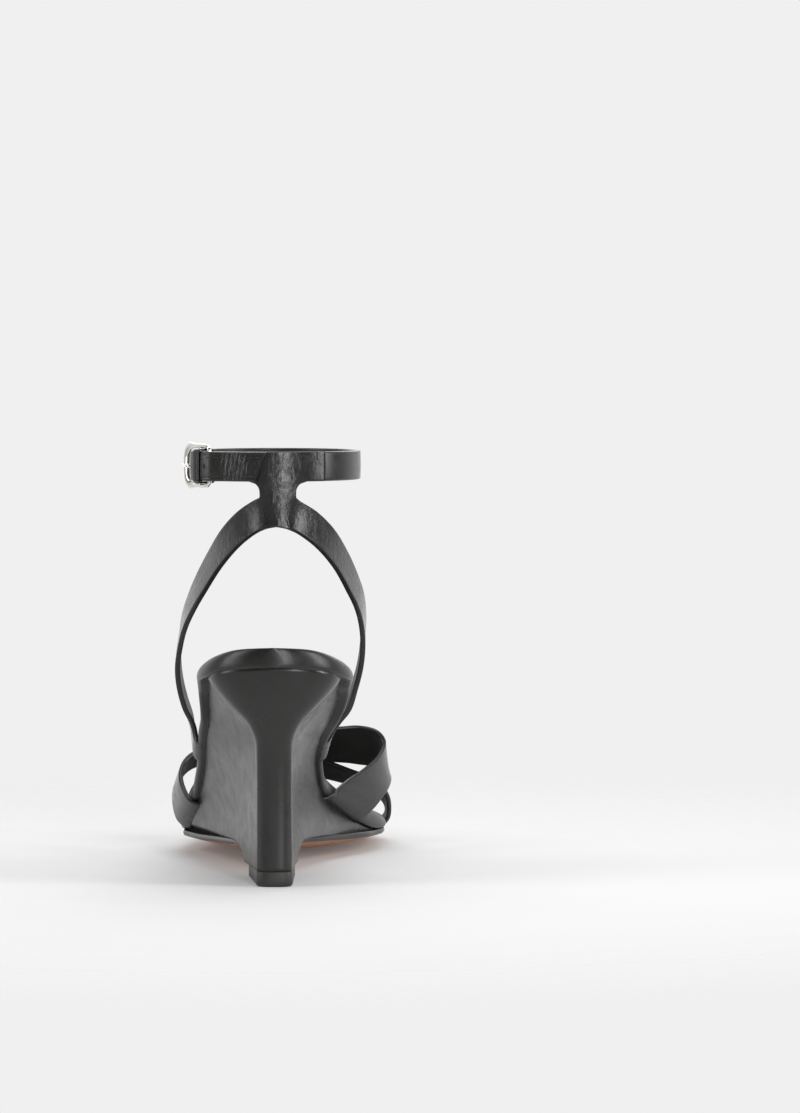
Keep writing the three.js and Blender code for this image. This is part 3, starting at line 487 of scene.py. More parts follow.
def wedge_x(side, y, z):
    """x of the wedge's surface on one side: a rounded back, then one bent stretch to the front."""
    y1 = float(front_y(z)) + 2
    w = float(back_half(z))
    rear = float(back_y(z))
    shoulder = rear + float(back_depth(z))
    if y <= shoulder:
        s = max(min((shoulder - y) / (shoulder - rear), 1), 0) ** (1 / BACK_ROUND)
        return side * w * (1 - s * s) ** (BACK_ROUND / 2)
    low = 1 - float(smoothstep(z, 20, 70))
    front = float(centre_x(y1)) + side * float(half(y1, OVERHANG))
    bulge = 0.5 if side < 0 else 0.12 + 0.25 * (1 - low)
    back = side * w
    bend_x = back + (front - back) * (bulge - 0.14 * low)
    bend_y = shoulder + (y1 - shoulder) * 0.52
    a = y1 - 2 * bend_y + shoulder
    b = 2 * (bend_y - y1)
    c = y1 - min(y, y1)
    t = -c / b if abs(a) < 1e-6 else (-b - math.sqrt(max(b * b - 4 * a * c, 0))) / (2 * a)
    return (1 - t) ** 2 * front + 2 * t * (1 - t) * bend_x + t * t * back


def wedge_place(q, z):
    """Point of the wedge surface: q runs from the lateral front round the back to the medial front."""
    side = -1 if q < 0 else 1
    y = float(back_y(z)) + (WEDGE_FRONT_Y - float(back_y(z))) * abs(q) ** 1.9
    return wedge_x(side, y, z), y


def wedge_top(q):
    """Height at which the wedge meets the underside of the footbed, by halving."""
    low, high = TIP_TALL, 88.0
    for _ in range(30):
        middle = (low + high) / 2
        if middle < float(bottom_z(wedge_place(q, middle)[1])) - 0.5:
            low = middle
        else:
            high = middle
    return low


def wedge_bottom(q):
    """Height of the wedge's lower edge: the heel tip at the back, the sole in front of it."""
    bottom = TIP_TALL + 0.1
    for _ in range(8):
        x, y = wedge_place(q, bottom)
        above_sole = float(sole_z(x, y)) + sole_thick(y) - 0.1
        bottom = TIP_TALL + 0.1 + max(above_sole - TIP_TALL - 0.1, 0) * float(smoothstep(y, 32, 40))
    return bottom


def wedge_cover():
    """Leather pulled over the wedge, with its upper edge turned in under the footbed."""
    columns = []
    for q in np.linspace(-1, 1, 201):
        top = wedge_top(q)
        bottom = min(wedge_bottom(q), top - 0.4)
        column = []
        for v in np.linspace(0, 1, 64):
            z = bottom + (top - bottom) * v
            column.append((*wedge_place(q, z), z))
        x, y, z = column[-1]
        toward = unit(np.array([float(centre_x(max(y, 10))) * 0.6 - x, max(12 - y, 0), 0]))
        for reach, rise in ((0.22, 0.2), (0.55, 0.28), (1.2, 0.22), (2.4, -0.5)):
            column.append((x + toward[0] * reach, y + toward[1] * reach, z + rise))
        columns.append(column)
    points = np.array(columns)
    faces = grid_faces(points.shape[0], points.shape[1])
    piece = make("wedge_leather_cover", points.reshape(-1, 3), faces, [WEDGE_LEATHER])
    recalculate(piece)
    piece.data.flip_normals()
    thick = piece.modifiers.new("thick", "SOLIDIFY")
    thick.thickness = WEDGE_SKIN * MM
    thick.offset = -1
    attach(piece, "sole_unit")
    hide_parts("wedge_cover")


def heel_tip():
    """Rubber tip with a rounded back and eased edges."""
    rings = []
    for z, shrink in ((0, 1.1), (0.12, 0.6), (0.45, 0.2), (0.9, 0), (3, 0), (5.7, 0), (5.95, 0.12),
                      (6.05, 0.5)):
        w = 7.15 - shrink
        a = np.linspace(0, math.pi, 25)
        power = lambda v: np.sign(v) * np.abs(v) ** 0.7
        back = [(-w * power(math.cos(t)), 5 - (5 - shrink) * power(math.sin(t)), z) for t in a]
        front = TIP_FRONT_Y - shrink
        flanks = [(-11 + shrink, front, z)] + back + [(7.3 - shrink, front, z)]
        dense = []
        for p, q in zip(flanks, flanks[1:] + flanks[:1]):
            steps = 12 if math.dist(p, q) > 8 else 1
            dense += [tuple(np.array(p) + (np.array(q) - np.array(p)) * s / steps) for s in range(steps)]
        rings.append(dense)
    points, faces = closed_loft(rings)
    piece = recalculate(make("rubber_heel_tip", points, faces, [RUBBER]))
    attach(piece, "sole_unit")
    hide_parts("heel_top_piece")


# ------------ straps

STRAP_UP = 1.0
STRAP_DOWN = 0.95
EDGE_IN = 0.75


def ribbon(name, rear, front, middle, materials, up=STRAP_UP, down=STRAP_DOWN, across=14, relief=None):
    """Leather strap between two edge lines: face, rounded painted edges and lining in one closed piece."""
    width = unit(front - rear)
    along = unit(np.gradient((rear + front) / 2, axis=0))
    normal = unit(np.cross(along, width))
    facing = np.sum(normal * ((rear + front) / 2 - middle), axis=1)
    if facing.sum() < 0:
        normal = -normal
    profile = []
    centre = (up - down) / 2
    tall = (up + down) / 2
    for f in np.linspace(0, 1, across):
        off = EDGE_IN * (1 - 2 * f)
        groove = 0.1 * math.exp(-((min(f, 1 - f) * 20 - 1.1) / 0.35) ** 2)
        profile.append((f, off, up + 0.12 * math.sin(math.pi * f) - groove, 0))
    for a in np.linspace(math.pi / 2, -math.pi / 2, 9)[1:-1]:
        profile.append((1, -EDGE_IN + EDGE_IN * math.cos(a), centre + tall * math.sin(a), 1))
    for f in np.linspace(1, 0, across):
        profile.append((f, EDGE_IN * (1 - 2 * f), -down, 2))
    for a in np.linspace(-math.pi / 2, -3 * math.pi / 2, 9)[1:-1]:
        profile.append((0, EDGE_IN + EDGE_IN * math.cos(a), centre + tall * math.sin(a), 1))
    rings = []
    for i in range(len(rear)):
        ring = []
        for f, off, h, part in profile:
            lift = relief(i / (len(rear) - 1), f) if relief and part != 2 else 0
            base = rear[i] * (1 - f) + front[i] * f + width[i] * off
            ring.append(base + normal[i] * (h + lift))
        rings.append(ring)
    points, faces = closed_loft(rings)
    kinds = [part for _, _, _, part in profile]
    count = len(profile)
    ids = []
    for _ in range(len(rear) - 1):
        for j in range(count):
            a, b = kinds[j], kinds[(j + 1) % count]
            ids.append(a if a == b else 1)
    piece = make(name, points, faces, materials, ids + [1, 1])
    return recalculate(piece)


STRAP_A_REAR = [(11, 96, 26.2), (16.2, 96.5, 25.8), (21.2, 98, 26.4), (23.4, 101.5, 29),
                (27.2, 108, 31.9), (34.6, 117, 36), (40.3, 124, 41), (42.2, 128.5, 46.5),
                (39.3, 130, 50.2), (32.4, 132, 51.9), (24, 136, 51.2), (5, 144.5, 48.4),
                (-15, 153.5, 42.2), (-32, 161.5, 32), (-40.4, 167.2, 20), (-40.6, 169.5, 12.6),
                (-36.6, 171, 7), (-30, 172, 6.3)]
STRAP_A_FRONT = [(20, 118, 13), (28, 118.6, 13.2), (33.6, 120.6, 15.4), (38, 124.8, 18.8),
                 (41.6, 131.4, 22.8), (44, 138.8, 26.4), (44.5, 145.5, 29.6), (42.2, 150.5, 32.6),
                 (38, 154, 33.8), (32.6, 157, 34.2), (25.8, 160, 34.8), (7, 167, 34.4),
                 (-10, 174.5, 30.6), (-24, 180.5, 23.6), (-30.6, 185, 16.4), (-31, 187, 11.6),
                 (-27.6, 188, 7), (-21, 188, 6.2)]
STRAP_B_REAR = [(-26, 100.5, 23.4), (-32.4, 100, 23), (-37, 100.8, 24.6), (-39.8, 104, 28.6),
                (-41.3, 108.5, 33.4), (-40, 115, 38.8), (-35.7, 119, 42.4), (-22, 127.5, 44.6),
                (-5, 136, 43.4), (12, 145, 38.4), (27, 151.5, 32.2), (38, 155, 27.4), (43.2, 157, 21.6),
                (44.4, 158, 16), (43.8, 158.4, 11), (39.6, 158.6, 7.4), (33, 158.6, 6.9)]
STRAP_B_FRONT = [(-32, 124.5, 11), (-38, 124.8, 10.7), (-42.6, 126, 13), (-44.9, 129, 19),
                 (-44.8, 132.5, 26.4), (-41.2, 136.5, 32.4), (-35, 140.5, 35.4), (-22, 147.5, 36),
                 (-6, 156.5, 33.8), (11, 166, 29), (26, 172.5, 24.8), (37.4, 177, 20.4),
                 (42.6, 180, 15.4), (43.2, 181.4, 11.4), (39.4, 182, 7.4), (34, 182, 6.3),
                 (27, 182, 6.1)]
FOOT_MIDDLE = np.array([0, 148, 12.0])


def paired(rear, front, count):
    """Both edges sampled at the same places between their matching points."""
    a = catmull(rear)
    b = catmull(front)
    middle = (a + b) / 2
    steps = np.linalg.norm(np.diff(middle, axis=0), axis=1)
    along = np.concatenate([[0], np.cumsum(steps)])
    at = np.linspace(0, along[-1], count)
    return [np.stack([np.interp(at, along, line[:, k]) for k in range(3)], axis=1) for line in (a, b)]


def toe_straps():
    for letter, rear, front in (("a", STRAP_A_REAR, STRAP_A_FRONT), ("b", STRAP_B_REAR, STRAP_B_FRONT)):
        a, b = paired(rear, front, 150)
        piece = ribbon(f"toe_strap_{letter}_leather", a, b, FOOT_MIDDLE, [STRAP_LEATHER, EDGE, LINING],
                       across=22)
        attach(piece, "sole_unit")
        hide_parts(f"toe_strap_{letter}", f"toe_strap_{letter}_lining")


# ------------ ankle ring

RING_X, RING_Y, RING_HALF_X, RING_HALF_Y = -0.3, 30.0, 32.8, 37.0
BAND_LOW, BAND_HIGH = 158.15, 169.65
BAND_MID = (BAND_LOW + BAND_HIGH) / 2
ANKLE = np.array([RING_X, RING_Y, BAND_MID])
SEAM_ANGLE, ARM_END, BAR_ANGLE, TAIL_CUT, TAIL_TIP = -36, 47.5, 54, 39.5, 4
STRAP_SPLIT = 49          # angle under the keeper where the strap becomes the tail
FRAME_OFF = 2.3


def on_ring(angle, off, z):
    a = math.radians(angle)
    x = RING_X - (RING_HALF_X + off) * math.sin(a)
    y = RING_Y - (RING_HALF_Y + off) * math.cos(a)
    return np.array([x, y, z])


def ring_angle(x):
    return math.degrees(math.asin((RING_X - x) / RING_HALF_X))


# ------------ heel sling

LEG_WIDTH = 12
STEM_X, STEM_HALF, STEM_BASE_Z = 1.75, 7, 152
LEG_STATIONS = [
    (1.25, 6.4, -6.4, 139.2, 0.16, 0.16, 0.96), (1.3, 11.6, -2.6, 135.9, 0.26, 0.42, 0.87),
    (1.35, 16.65, 3, 131.3, 0.36, 0.62, 0.7), (1.1, 23, 12.5, 123.3, 0.29, 0.77, 0.57),
    (0.55, 27.75, 21.5, 115.1, 0.24, 0.82, 0.52), (-0.1, 32.1, 30, 106.9, 0.15, 0.87, 0.47),
    (-1.2, 35.05, 38, 98.6, 0.06, 0.9, 0.43), (-2.2, 36.4, 45, 90.2, 0, 0.92, 0.39),
    (-3.3, 36.6, 51, 81.8, 0, 0.93, 0.37), (-4.1, 35.3, 56.6, 73.2, 0, 0.94, 0.34)]


def stem_point(side, z):
    fillet = 4
    over = max(z - (BAND_LOW - fillet), 0)
    flare = fillet - math.sqrt(max(fillet ** 2 - over ** 2, 0))
    return on_ring(ring_angle(STEM_X + side * (STEM_HALF + flare)), 0, z)


# Ends of the two edges of a leg. Each row holds how far it lies outside the rim on the lateral and on the
# medial side, its y, and its height over the rim's foot.
REAR_END = [(5.0, 8.4, 60, 12.6), (2.6, 5.2, 61, 9), (1.3, 2.4, 61.4, 5.4), (0.7, 0.7, 61.6, 2.4),
            (-0.9, -0.9, 61.8, 0.7), (-3.2, -3.2, 62, 0.9)]
FRONT_END = [(4.7, 9.2, 72.3, 24.4), (2.7, 4.6, 73.6, 19), (1.7, 2.2, 74, 12.3), (1.1, 1.1, 74.2, 5.5),
             (0.6, 0.6, 74.3, 2.2), (-0.9, -0.9, 74.4, 0.7), (-3.2, -3.2, 74.6, 0.9)]


def leg_end(side, table):
    points = []
    for lateral, medial, y, above in table:
        out = lateral if side < 0 else medial
        x = float(centre_x(y)) + side * (float(half(y, 0)) + out)
        points.append(np.array([x, y, float(bottom_z(y)) + above]))
    return points


def leg_rails(side):
    rear = [(1.2, on_ring(0, 0, 0)[1] - 0.3, 140.6)]
    front = [stem_point(side, STEM_BASE_Z)]
    for middle, spread, y, z, wx, wy, wz in LEG_STATIONS:
        at = np.array([middle + side * spread, y, z])
        rear.append(at)
        front.append(at + unit(np.array([side * wx, wy, wz])) * LEG_WIDTH)
    return catmull(rear + leg_end(side, REAR_END)), catmull(front + leg_end(side, FRONT_END))


class Sheet:
    """Grids of points that share their edges."""

    def __init__(self):
        self.points = []
        self.faces = []
        self.found = {}

    def add(self, point):
        key = tuple(np.round(point * 200).astype(int))
        if key not in self.found:
            self.found[key] = len(self.points)
            self.points.append(point)
        return self.found[key]

    def grid(self, rows):
        ids = [[self.add(np.asarray(p, float)) for p in row] for row in rows]
        for i in range(len(ids) - 1):
            for j in range(len(ids[i]) - 1):
                face = (ids[i][j], ids[i][j + 1], ids[i + 1][j + 1], ids[i + 1][j])
                if len(set(face)) == 4:
                    self.faces.append(face)


SLING_CELLS = 10             # across a leg, and across half of the stem
LEG_CELLS = 74               # along a leg
FORK_POINTS = 20             # points of a leg's rear edge that lie under the stem
SLING_THICK = 2.1


def sling_legs(sheet):
    for side in (-1, 1):
        rear, front = leg_rails(side)
        rows = []
        for t in np.linspace(0, 1, SLING_CELLS + 1):
            low = rear[int(round(t * FORK_POINTS))]
            top = on_ring(ring_angle(STEM_X + side * STEM_HALF * t), 0, STEM_BASE_Z)
            if t == 1:
                top = stem_point(side, STEM_BASE_Z)
            rows.append([low + (top - low) * s for s in np.linspace(0, 1, SLING_CELLS + 1)])
        a = resample(rear[FORK_POINTS:], LEG_CELLS + 1)[1:]
        b = resample(front, LEG_CELLS + 1)[1:]
        rows += [[p + (q - p) * s for s in np.linspace(0, 1, SLING_CELLS + 1)] for p, q in zip(a, b)]
        sheet.grid(rows)


def sling_stem_and_arms(sheet):
    heights = list(np.linspace(STEM_BASE_Z, BAND_LOW, 9))
    band = list(np.linspace(BAND_LOW, BAND_HIGH, 10))
    rows = []
    for z in heights + band[1:]:
        a = stem_point(-1, z)[0]
        b = stem_point(1, z)[0]
        across = a + (b - a) * np.linspace(0, 1, 2 * SLING_CELLS + 1)
        rows.append([on_ring(ring_angle(x), 0, z) for x in across])
    sheet.grid(rows)
    for side, end, cells in ((-1, ARM_END, 30), (1, SEAM_ANGLE, 16)):
        edge = ring_angle(stem_point(side, BAND_LOW)[0])
        angles = np.linspace(edge, end, cells)
        sheet.grid([[on_ring(angle, 0, z) for angle in angles] for z in band])


def relax_fork(piece):
    """Smooths the leather where the legs meet the stem, and turns its face outwards."""
    work = bmesh.new()
    work.from_mesh(piece.data)
    bmesh.ops.recalc_face_normals(work, faces=work.faces)
    inner = [v for v in work.verts if not v.is_boundary and 0.118 < v.co.z < 0.157]
    for _ in range(60):
        bmesh.ops.smooth_vert(work, verts=inner, factor=0.5, use_axis_x=True, use_axis_y=True,
                              use_axis_z=True)
    ankle = Vector(to_frame([ANKLE])[0])
    outwards = sum(f.normal.dot(f.calc_center_median() - ankle) * f.calc_area() for f in work.faces)
    if outwards < 0:
        bmesh.ops.reverse_faces(work, faces=work.faces)
    work.to_mesh(piece.data)
    work.free()


def heel_sling():
    """T-shaped sling: two legs, a stem and the arms of the ankle band, cut from one piece of leather."""
    sheet = Sheet()
    sling_legs(sheet)
    sling_stem_and_arms(sheet)
    piece = make("heel_sling_leather", sheet.points, sheet.faces, [SLING_LEATHER, EDGE, LINING])
    relax_fork(piece)
    thick = piece.modifiers.new("thick", "SOLIDIFY")
    thick.thickness = SLING_THICK * MM
    thick.offset = 0
    thick.material_offset = 2
    thick.material_offset_rim = 1
    bevel = piece.modifiers.new("edge", "BEVEL")
    bevel.width = 0.55 * MM
    bevel.segments = 3
    bevel.limit_method = "ANGLE"
    bevel.angle_limit = math.radians(50)
    baked(piece)
    piece.data.polygons.foreach_set("use_smooth", [True] * len(piece.data.polygons))
    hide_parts("heel_sling", "heel_sling_lining", "sling_anchor_lateral", "sling_anchor_medial")
    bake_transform(piece)


# ------------ ankle strap and tail

strap_off = smooth((26, 2.3), (33, 3), (39.5, 4.8), (43, 5.2), (47, 5.35), (54.5, 5.3), (57.5, 4.2),
                   (61, 2.2), (66, 0.3), (70, 0), (90, 0))


def strap_edges(start, end, count, slant=0.0):
    """Lower and upper edge of the band between two angles, with its first end cut at a slant."""
    low, high = [], []
    for t in np.linspace(0, 1, count):
        angle = start + (end - start) * t
        lower = angle + slant * (1 - t) ** 3
        low.append(on_ring(lower, float(strap_off(lower)), BAND_LOW))
        high.append(on_ring(angle, float(strap_off(angle)), BAND_HIGH))
    return np.array(low), np.array(high)


def ankle_strap():
    low, high = strap_edges(STRAP_SPLIT, 360 + SEAM_ANGLE - 0.3, 240)
    piece = ribbon("ankle_strap_leather", low, high, ANKLE, [STRAP_LEATHER, EDGE, LINING], up=0.95,
                   down=0.9)
    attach(piece, "ankle_sling")
    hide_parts("ankle_strap", "ankle_strap_lining")


TAIL_LENGTH = 29.5
TAIL_HOLE_AT = 0.87          # place of the spare hole along the tail


def tail_relief(t, f):
    """Fine slanted wrinkles in the middle of the tail, and the spare hole behind the keeper."""
    here = math.exp(-((t - 0.4) / 0.2) ** 2)
    wave = math.sin(88 * t + 3.0 * f + 1.3) + 0.6 * math.sin(147 * t + 5.0 * f + 2 * math.sin(9 * f))
    wrinkle = 0.1 * here * wave * math.sin(math.pi * min(max(f, 0.02), 0.98)) ** 0.5
    away = math.hypot((t - TAIL_HOLE_AT) * TAIL_LENGTH / 0.55, (f - 0.5) * (BAND_HIGH - BAND_LOW) / 0.8)
    return wrinkle - 0.75 * max(1 - away ** 3, 0)


def strap_tail():
    low, high = strap_edges(TAIL_TIP, STRAP_SPLIT, 190, slant=7)
    piece = ribbon("strap_tail_leather", low, high, ANKLE, [TAIL_LEATHER, EDGE, LINING], up=0.95, down=0.9,
                   across=44, relief=tail_relief)
    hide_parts("strap_tail", "strap_tail_lining")
    bend_tail(piece)
    threads = tail_stitches(low, high)
    bend_tail(threads)


def bend_tail(piece):
    """Bakes the world placement of a piece of the tail into its mesh."""
    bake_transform(piece)


def stitch_line(points, outward, length=1.9, pitch=2.7, radius=0.2):
    """Short raised stitches along a line."""
    steps = np.linalg.norm(np.diff(points, axis=0), axis=1)
    total = steps.sum()
    count = max(int(total / pitch), 1)
    line = resample(points, count * 8 + 1)
    normals = resample(outward, count * 8 + 1)
    rings_points, faces = [], []
    for k in range(count):
        mid = line[k * 8 + 4]
        way = unit(line[k * 8 + 6] - line[k * 8 + 2])
        up = unit(normals[k * 8 + 4])
        side = np.cross(way, up)
        base = len(rings_points)
        rows = np.linspace(-1, 1, 7)
        for r in rows:
            size = radius * math.sqrt(max(1 - (abs(r) ** 3) * 0.85, 0))
            sink = -0.35 * radius * r * r
            for a in np.linspace(0, 2 * math.pi, 8, endpoint=False):
                offset = side * (size * math.cos(a)) + up * (size * math.sin(a) + sink + 0.25 * radius)
                rings_points.append(mid + way * (r * length / 2) + offset)
        for i in range(len(rows) - 1):
            for j in range(8):
                a, b = base + i * 8 + j, base + i * 8 + (j + 1) % 8
                faces.append((a, b, b + 8, a + 8))
        faces.append(tuple(base + j for j in reversed(range(8))))
        faces.append(tuple(base + (len(rows) - 1) * 8 + j for j in range(8)))
    return rings_points, faces


def tail_stitches(low, high):
    """Stitches along both edges of the tail and across its end."""
    width = unit(high - low)
    outward = unit(low * 0.5 + high * 0.5 - ANKLE) * np.array([1, 1, 0])
    outward = unit(outward)
    inset, lift = 2.2, 1.02
    first, last = 9, 160
    lower = low + width * inset + outward * lift
    upper = high - width * inset + outward * lift
    across = np.array([lower[first] + (upper[first] - lower[first]) * s for s in np.linspace(0, 1, 12)])
    points, faces = [], []
    end_outward = np.repeat(outward[first:first + 1], len(across), axis=0)
    for line, normals in ((lower[first:last], outward[first:last]), (across, end_outward),
                          (upper[first:last], outward[first:last])):
        more, more_faces = stitch_line(line, normals)
        faces += [tuple(len(points) + i for i in face) for face in more_faces]
        points += more
    piece = make("strap_tail_stitches", points, faces, [THREAD])
    return piece


# ------------ buckle

BAR_AT = on_ring(BAR_ANGLE, FRAME_OFF, BAND_MID)
ALONG = unit(on_ring(BAR_ANGLE + 1, FRAME_OFF, BAND_MID) - on_ring(BAR_ANGLE - 1, FRAME_OFF, BAND_MID))
OUT = unit(on_ring(BAR_ANGLE, 9, BAND_MID) - BAR_AT)
OUT = unit(OUT - ALONG * float(OUT @ ALONG))
UP = np.array([0, 0, 1.0])
FRAME_REAR, FRAME_FRONT, FRAME_TALL, FRAME_WIDE, BOW_WIDE = -7, 11, 17.3, 0.85, 1.9
BAR_RADIUS = 0.8


def bar_point(along, out, up):
    return BAR_AT + ALONG * along + OUT * out + UP * up


def buckle_frame():
    """Flat silver frame with a domed face and a wider bow at the front."""
    span = (FRAME_FRONT - FRAME_REAR) / 2
    mid = (FRAME_FRONT + FRAME_REAR) / 2
    across = FRAME_TALL / 2 - FRAME_WIDE
    path = []
    for a in np.linspace(0, 2 * math.pi, 400, endpoint=False):
        corner = 0.4 + 0.15 * math.cos(a)
        ca, sa = math.cos(a), math.sin(a)
        path.append((mid + span * math.copysign(abs(ca) ** corner, ca), 0,
                     across * math.copysign(abs(sa) ** corner, sa)))
    path = resample(np.array(path + path[:1]), 161)[:-1]
    rings = []
    for i, (along, _, up) in enumerate(path):
        way = unit(path[(i + 1) % 160] - path[i - 1])
        wide = FRAME_WIDE + (BOW_WIDE - FRAME_WIDE) * float(smoothstep(along, 3, 10.5))
        ring = []
        for b in np.linspace(0, 2 * math.pi, 20, endpoint=False):
            spread = wide * math.copysign(abs(math.cos(b)) ** 0.8, math.cos(b))
            ring.append(bar_point(along - way[2] * spread, 0.85 * math.sin(b), up + way[0] * spread))
        rings.append(ring)
    rings = np.array(rings)
    points = rings.reshape(-1, 3)
    faces = grid_faces(160, 20, around=True, loop=True)
    piece = recalculate(make("buckle_frame_polished", points, faces, [SILVER]))
    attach(piece, "buckle")
    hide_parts("buckle_frame")


def prong():
    """Tapered prong that arches over the strap to the bow, with an eye round the bar."""
    wire = 0.62
    reach, fall = FRAME_FRONT, 0.85 + wire
    arch = [(0.6, 1.4, 0), (1.2, 2.6, 0), (2.4, 3.9, 0), (4, 3.95, 0), (7, 2.3, 0),
            (reach - 1.5, fall + 0.35, 0), (reach + 1, fall - 0.15, 0)]
    path = resample(catmull(arch), 60)
    rings = []
    for i, (a, b, _) in enumerate(path):
        way = unit(path[min(i + 1, 59)] - path[max(i - 1, 0)])
        t = i / 59
        size = wire * (1.25 - 0.4 * t)
        if t >= 0.95:
            size *= math.sqrt(max(1 - ((t - 0.95) / 0.05) ** 2 * 0.9, 0.05))
        ring = []
        for s in np.linspace(0, 2 * math.pi, 14, endpoint=False):
            out = size * math.cos(s)
            ring.append(bar_point(a - way[1] * out, b + way[0] * out, size * 1.15 * math.sin(s)))
        rings.append(ring)
    points, faces = closed_loft(rings)
    eye = BAR_RADIUS + 0.25 + wire
    base = len(points)
    turn = []
    for a in np.linspace(0, 2 * math.pi, 36, endpoint=False):
        for b in np.linspace(0, 2 * math.pi, 12, endpoint=False):
            radius = eye + wire * math.cos(b)
            turn.append(bar_point(radius * math.cos(a), radius * math.sin(a), wire * math.sin(b)))
    points = np.concatenate([points, np.array(turn)])
    faces += [tuple(base + i for i in face) for face in grid_faces(36, 12, around=True, loop=True)]
    piece = recalculate(make("buckle_prong_polished", points, faces, [SILVER]))
    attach(piece, "prong")
    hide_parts("buckle_prong")


# Angle round the ankle ring, and share of the skin's thickness
KEEPER_PROFILE = [(46.4, 0.1), (46.4, 0.5), (46.7, 0.85), (47.2, 0.98), (49.1, 1.0), (50.9, 0.98),
                  (51.4, 0.85), (51.7, 0.5), (51.7, 0.1), (51.3, 0), (46.8, 0)]


def keeper():
    """Leather loop with rounded edges round the sling arm and the strap tail."""
    low, high, skin = -1.25, 6.6, 0.75
    tall = (BAND_HIGH - BAND_LOW) / 2 + 0.25
    path = []
    corner = 0.9
    for off, up, start in ((high - corner, tall - corner, 0), (low + corner, tall - corner, 90),
                           (low + corner, -tall + corner, 180), (high - corner, -tall + corner, 270)):
        for a in np.radians(np.linspace(start, start + 90, 8)):
            path.append((off, up, math.cos(a), math.sin(a)))
    dense = []
    for (o1, u1, c1, s1), (o2, u2, c2, s2) in zip(path, path[1:] + path[:1]):
        p = np.array([o1 + corner * c1, u1 + corner * s1, c1, s1])
        q = np.array([o2 + corner * c2, u2 + corner * s2, c2, s2])
        steps = 8 if np.linalg.norm((q - p)[:2]) > 2 else 1
        dense += [p + (q - p) * k / steps for k in range(steps)]
    rings = []
    for off, up, c, s in dense:
        ring = []
        for angle, depth in KEEPER_PROFILE:
            ring.append(on_ring(angle, off + c * depth * skin, BAND_MID + up + s * depth * skin))
        rings.append(ring)
    rings = np.array(rings)
    faces = grid_faces(rings.shape[0], rings.shape[1], around=True, loop=True)
    piece = recalculate(make("keeper_loop_leather", rings.reshape(-1, 3), faces, [STRAP_LEATHER]))
    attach(piece, "ankle_sling")
    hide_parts("keeper_loop")


# ------------ CAD nodes that stay

def dress(names, material):
    """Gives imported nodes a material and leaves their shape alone."""
    for name in names:
        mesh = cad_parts[name].data
        mesh.materials.clear()
        mesh.materials.append(material)


def carried_over():
    dress(["wedge_core"], PLASTIC)
    dress(["forefoot_filler"], CORK)
    dress(["buckle_tab"], STRAP_LEATHER)
    steel_kinds = ("steel_", "shank_", "heel_nail_", "tip_pin_")
    hidden_steel = [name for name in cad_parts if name.startswith(steel_kinds)]
    dress(hidden_steel + ["buckle_bar"], STEEL)


# ------------ studio

PALE = 0.871                 # backdrop as the camera sees it
ROOM_FLOOR = 0.55            # light from below, from beyond the toe and from everywhere else
ROOM_WALL = 1.15
ROOM_DIM = 0.08
FLOOR_TONE = 0.72
FLOOR_GLOW = 0.07
FLOOR_HALF = 0.5
FLOOR_FADE = (0.16, 0.42)    # distances at which the floor starts and ends fading


def area_light(name, at, aim, size, energy):
    data = bpy.data.lights.new(name, "AREA")
    data.shape = "RECTANGLE"
    data.size, data.size_y = size
    data.energy = energy
    light = bpy.data.objects.new(name, data)
    light.location = at
    light.rotation_euler = (Vector(aim) - Vector(at)).to_track_quat("-Z", "Y").to_euler()
    bpy.context.scene.collection.objects.link(light)


def studio_world():
    """Pale backdrop for the camera, and a dim room over a bright floor for the light."""
    world = bpy.data.worlds.new("studio")
    world.use_nodes = True
    tree = world.node_tree
    tree.nodes.clear()
    seen = tree.nodes.new("ShaderNodeBackground")
    seen.inputs["Color"].default_value = (PALE, PALE, PALE, 1)
    room = tree.nodes.new("ShaderNodeBackground")
    room.inputs["Color"].default_value = (1, 1, 1, 1)
    split = tree.nodes.new("ShaderNodeSeparateXYZ")
    tree.links.new(tree.nodes.new("ShaderNodeTexCoord").outputs["Generated"], split.inputs["Vector"])
    bright = tree.nodes.new("ShaderNodeMath")
    bright.operation = "MAXIMUM"
    sides = (("Z", (0.08, -0.08), ROOM_FLOOR), ("Y", (0.1, 0.6), ROOM_WALL))
    for slot, (axis, span, glow) in enumerate(sides):
        share = tree.nodes.new("ShaderNodeMapRange")
        share.inputs["From Min"].default_value, share.inputs["From Max"].default_value = span
        share.inputs["To Min"].default_value, share.inputs["To Max"].default_value = ROOM_DIM, glow
        tree.links.new(split.outputs[axis], share.inputs["Value"])
        tree.links.new(share.outputs["Result"], bright.inputs[slot])
    tree.links.new(bright.outputs["Value"], room.inputs["Strength"])
    mix = tree.nodes.new("ShaderNodeMixShader")
    tree.links.new(tree.nodes.new("ShaderNodeLightPath").outputs["Is Camera Ray"], mix.inputs["Fac"])
    tree.links.new(room.outputs["Background"], mix.inputs[1])
    tree.links.new(seen.outputs["Background"], mix.inputs[2])
    out = tree.nodes.new("ShaderNodeOutputWorld")
    tree.links.new(mix.outputs["Shader"], out.inputs["Surface"])
    bpy.context.scene.world = world


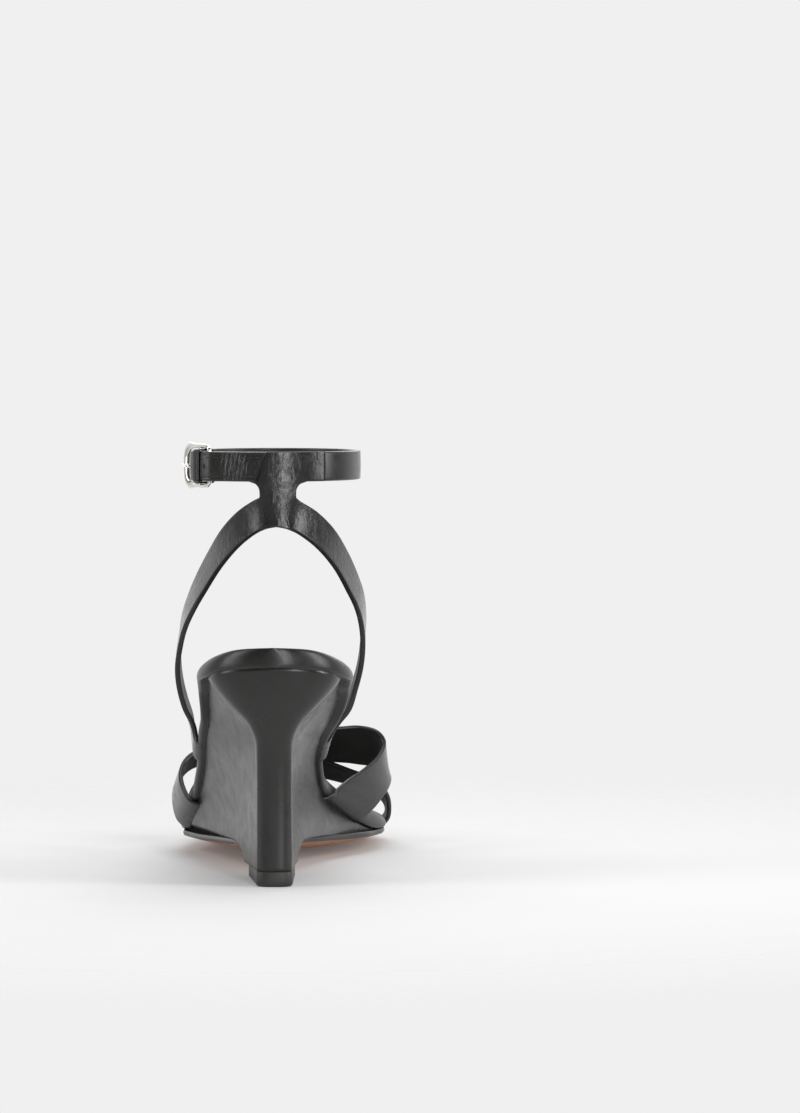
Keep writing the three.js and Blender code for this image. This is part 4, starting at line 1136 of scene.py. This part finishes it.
def studio_floor():
    """Round patch of pale floor that takes the shadow and fades out into the backdrop."""
    material, shader = new_material("studio_floor", (FLOOR_TONE,) * 3, 0.9)
    shader.inputs["Specular IOR Level"].default_value = 0.0
    shader.inputs["Emission Color"].default_value = (1, 1, 1, 1)
    shader.inputs["Emission Strength"].default_value = FLOOR_GLOW
    nodes = Nodes(material, shader)
    length = nodes.tree.nodes.new("ShaderNodeVectorMath")
    length.operation = "LENGTH"
    nodes.tree.links.new(nodes.space, length.inputs[0])
    alpha = nodes.ramp(length.outputs["Value"], 1, 0, *FLOOR_FADE)
    nodes.tree.links.new(alpha, shader.inputs["Alpha"])
    mesh = bpy.data.meshes.new("studio_floor")
    corners = [(x * FLOOR_HALF, y * FLOOR_HALF, 0) for x, y in ((-1, -1), (1, -1), (1, 1), (-1, 1))]
    mesh.from_pydata(corners, [], [(0, 1, 2, 3)])
    mesh.materials.append(material)
    floor = bpy.data.objects.new("studio_floor", mesh)
    floor.location = (0, 0.07, 0)
    bpy.context.scene.collection.objects.link(floor)


def studio():
    bpy.context.scene.view_settings.view_transform = "Standard"
    studio_world()
    studio_floor()
    area_light("left_box", (-1.1, -0.35, 0.55), (0, 0.03, 0.08), (0.5, 1.1), 7)
    area_light("right_box", (0.5, -1.6, 0.45), (0, 0, 0.1), (0.18, 1.0), 11)
    area_light("medial_box", (1.2, -0.3, 0.5), (0, 0.03, 0.08), (0.4, 0.9), 9)
    area_light("top_box", (0.1, -0.1, 1.4), (0, 0.02, 0.05), (0.9, 0.9), 7)
    area_light("toe_box", (0.2, 1.5, 0.9), (0, 0.1, 0.1), (1.4, 0.8), 8)


def camera():
    data = bpy.data.cameras.new("camera")
    data.sensor_width = 36
    data.sensor_fit = "AUTO"
    data.lens = 150.2
    data.clip_end = 200
    eye = bpy.data.objects.new("camera", data)
    eye.location = (0.049, -1.8 - TIP_MIDDLE_Y * MM, 0.2097)
    eye.rotation_euler = (math.radians(90 - 2.57), 0, 0)
    bpy.context.scene.collection.objects.link(eye)
    bpy.context.scene.camera = eye


camera()
studio()
footbed()
outsole()
wedge_cover()
heel_tip()
toe_straps()
heel_sling()
ankle_strap()
strap_tail()
buckle_frame()
prong()
keeper()
carried_over()
